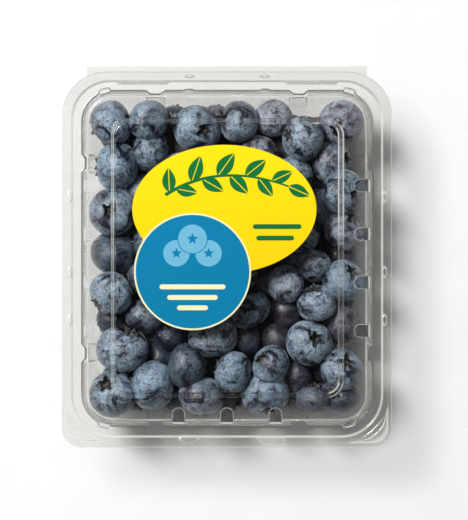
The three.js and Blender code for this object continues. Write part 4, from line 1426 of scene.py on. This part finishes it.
def floor_material():
    material, tree = new_material("pale_floor")
    colour = ramp(tree, noise(tree, coordinates(tree), 40, 2), [(0.3, 0.83), (0.7, 0.85)])
    matt = {"Base Color": colour, "Roughness": 0.8, "Specular IOR Level": 0.1}
    finish_material(tree, shader(tree, "Principled", matt))
    return material


# ---- Stage, light and camera ----
def make_stage():
    corners = [(FLOOR_HALF * x, FLOOR_HALF * y, FLOOR_LEVEL) for x, y in ((-1, -1), (1, -1), (1, 1), (-1, 1))]
    floor = new_object("floor", corners, [(0, 1, 2, 3)], [floor_material()])


def make_world():
    """A dim studio whose sides, which only gloss and clear plastic show, are brighter."""
    world = bpy.data.worlds.new("studio")
    world.use_nodes = True
    world.cycles.sampling_method = "NONE"
    tree = world.node_tree
    toward = node(tree, "ShaderNodeTexCoord").outputs["Generated"]
    across = node(tree, "ShaderNodeSeparateXYZ", {"Vector": toward}).outputs["X"]
    sideways = maths(tree, "ABSOLUTE", across)
    seen = ramp(tree, sideways, [(0.0, STUDIO_TOP), (0.6, STUDIO_TOP), (0.95, STUDIO_SIDES)])
    diffuse = node(tree, "ShaderNodeLightPath").outputs["Is Diffuse Ray"]
    light = mix_colour(tree, diffuse, seen, grey(FILL_LIGHT))
    fill(tree, tree.nodes["Background"].inputs["Color"], light)
    bpy.context.scene.world = world


def make_key():
    lamp = bpy.data.lights.new("key", "AREA")
    lamp.shape = "DISK"
    lamp.size = KEY_SIZE
    lamp.energy = KEY_POWER
    azimuth, elevation = math.radians(KEY_AZIMUTH), math.radians(KEY_ELEVATION)
    key = bpy.data.objects.new("key", lamp)
    key.location = (
        KEY_DISTANCE * math.cos(elevation) * math.cos(azimuth),
        KEY_DISTANCE * math.cos(elevation) * math.sin(azimuth),
        KEY_DISTANCE * math.sin(elevation),
    )
    key.rotation_euler = (0, math.pi / 2 - elevation, azimuth)
    bpy.context.scene.collection.objects.link(key)


def make_camera():
    data = bpy.data.cameras.new("camera")
    data.sensor_width = CAMERA_SENSOR * 1000  # these two are in millimetres
    data.lens = CAMERA_SENSOR * 1000 * CAMERA_DISTANCE / (PHOTO_HEIGHT * PIXEL)
    data.clip_start = 0.01
    data.clip_end = 20
    camera = bpy.data.objects.new("camera", data)
    x = (PHOTO_WIDTH / 2 - CENTRE_PIXEL[0]) * PIXEL
    y = (CENTRE_PIXEL[1] - PHOTO_HEIGHT / 2) * PIXEL
    camera.location = (x, y, LID_FOOT + SHEET + CAMERA_DISTANCE)
    bpy.context.scene.collection.objects.link(camera)
    bpy.context.scene.camera = camera


def set_view():
    """Plain colours, and enough bounces for light to get through all the sheets."""
    scene = bpy.context.scene
    scene.view_settings.view_transform = "Standard"
    scene.cycles.transparent_max_bounces = SHEET_BOUNCES
    scene.cycles.max_bounces = SHEET_BOUNCES
    scene.cycles.transmission_bounces = SHEET_BOUNCES
    scene.cycles.glossy_bounces = GLOSS_BOUNCES


make_camera()
make_world()
make_key()
make_stage()
set_view()
plastic = plastic_material()
skin = berry_material()
papers = {name: paper_material(f"label_{name}", back, front) for name, (back, front) in PAPERS.items()}
draws = random_source(SEED)
heap = settle(upper_berries() + lower_berries(draws))
upper, lower = heap[:len(UPPER_BERRIES)], heap[len(UPPER_BERRIES):]
make_berries("berries_large", [b for b in upper if b["radius"] * 2 >= LARGE_BERRY], skin, draws)
make_berries("berries_small", [b for b in upper if b["radius"] * 2 < LARGE_BERRY], skin, draws)
make_berries("berries_lower", lower, skin, draws)
make_core(skin)
make_tray(plastic)
make_lid(plastic)
make_label(papers)
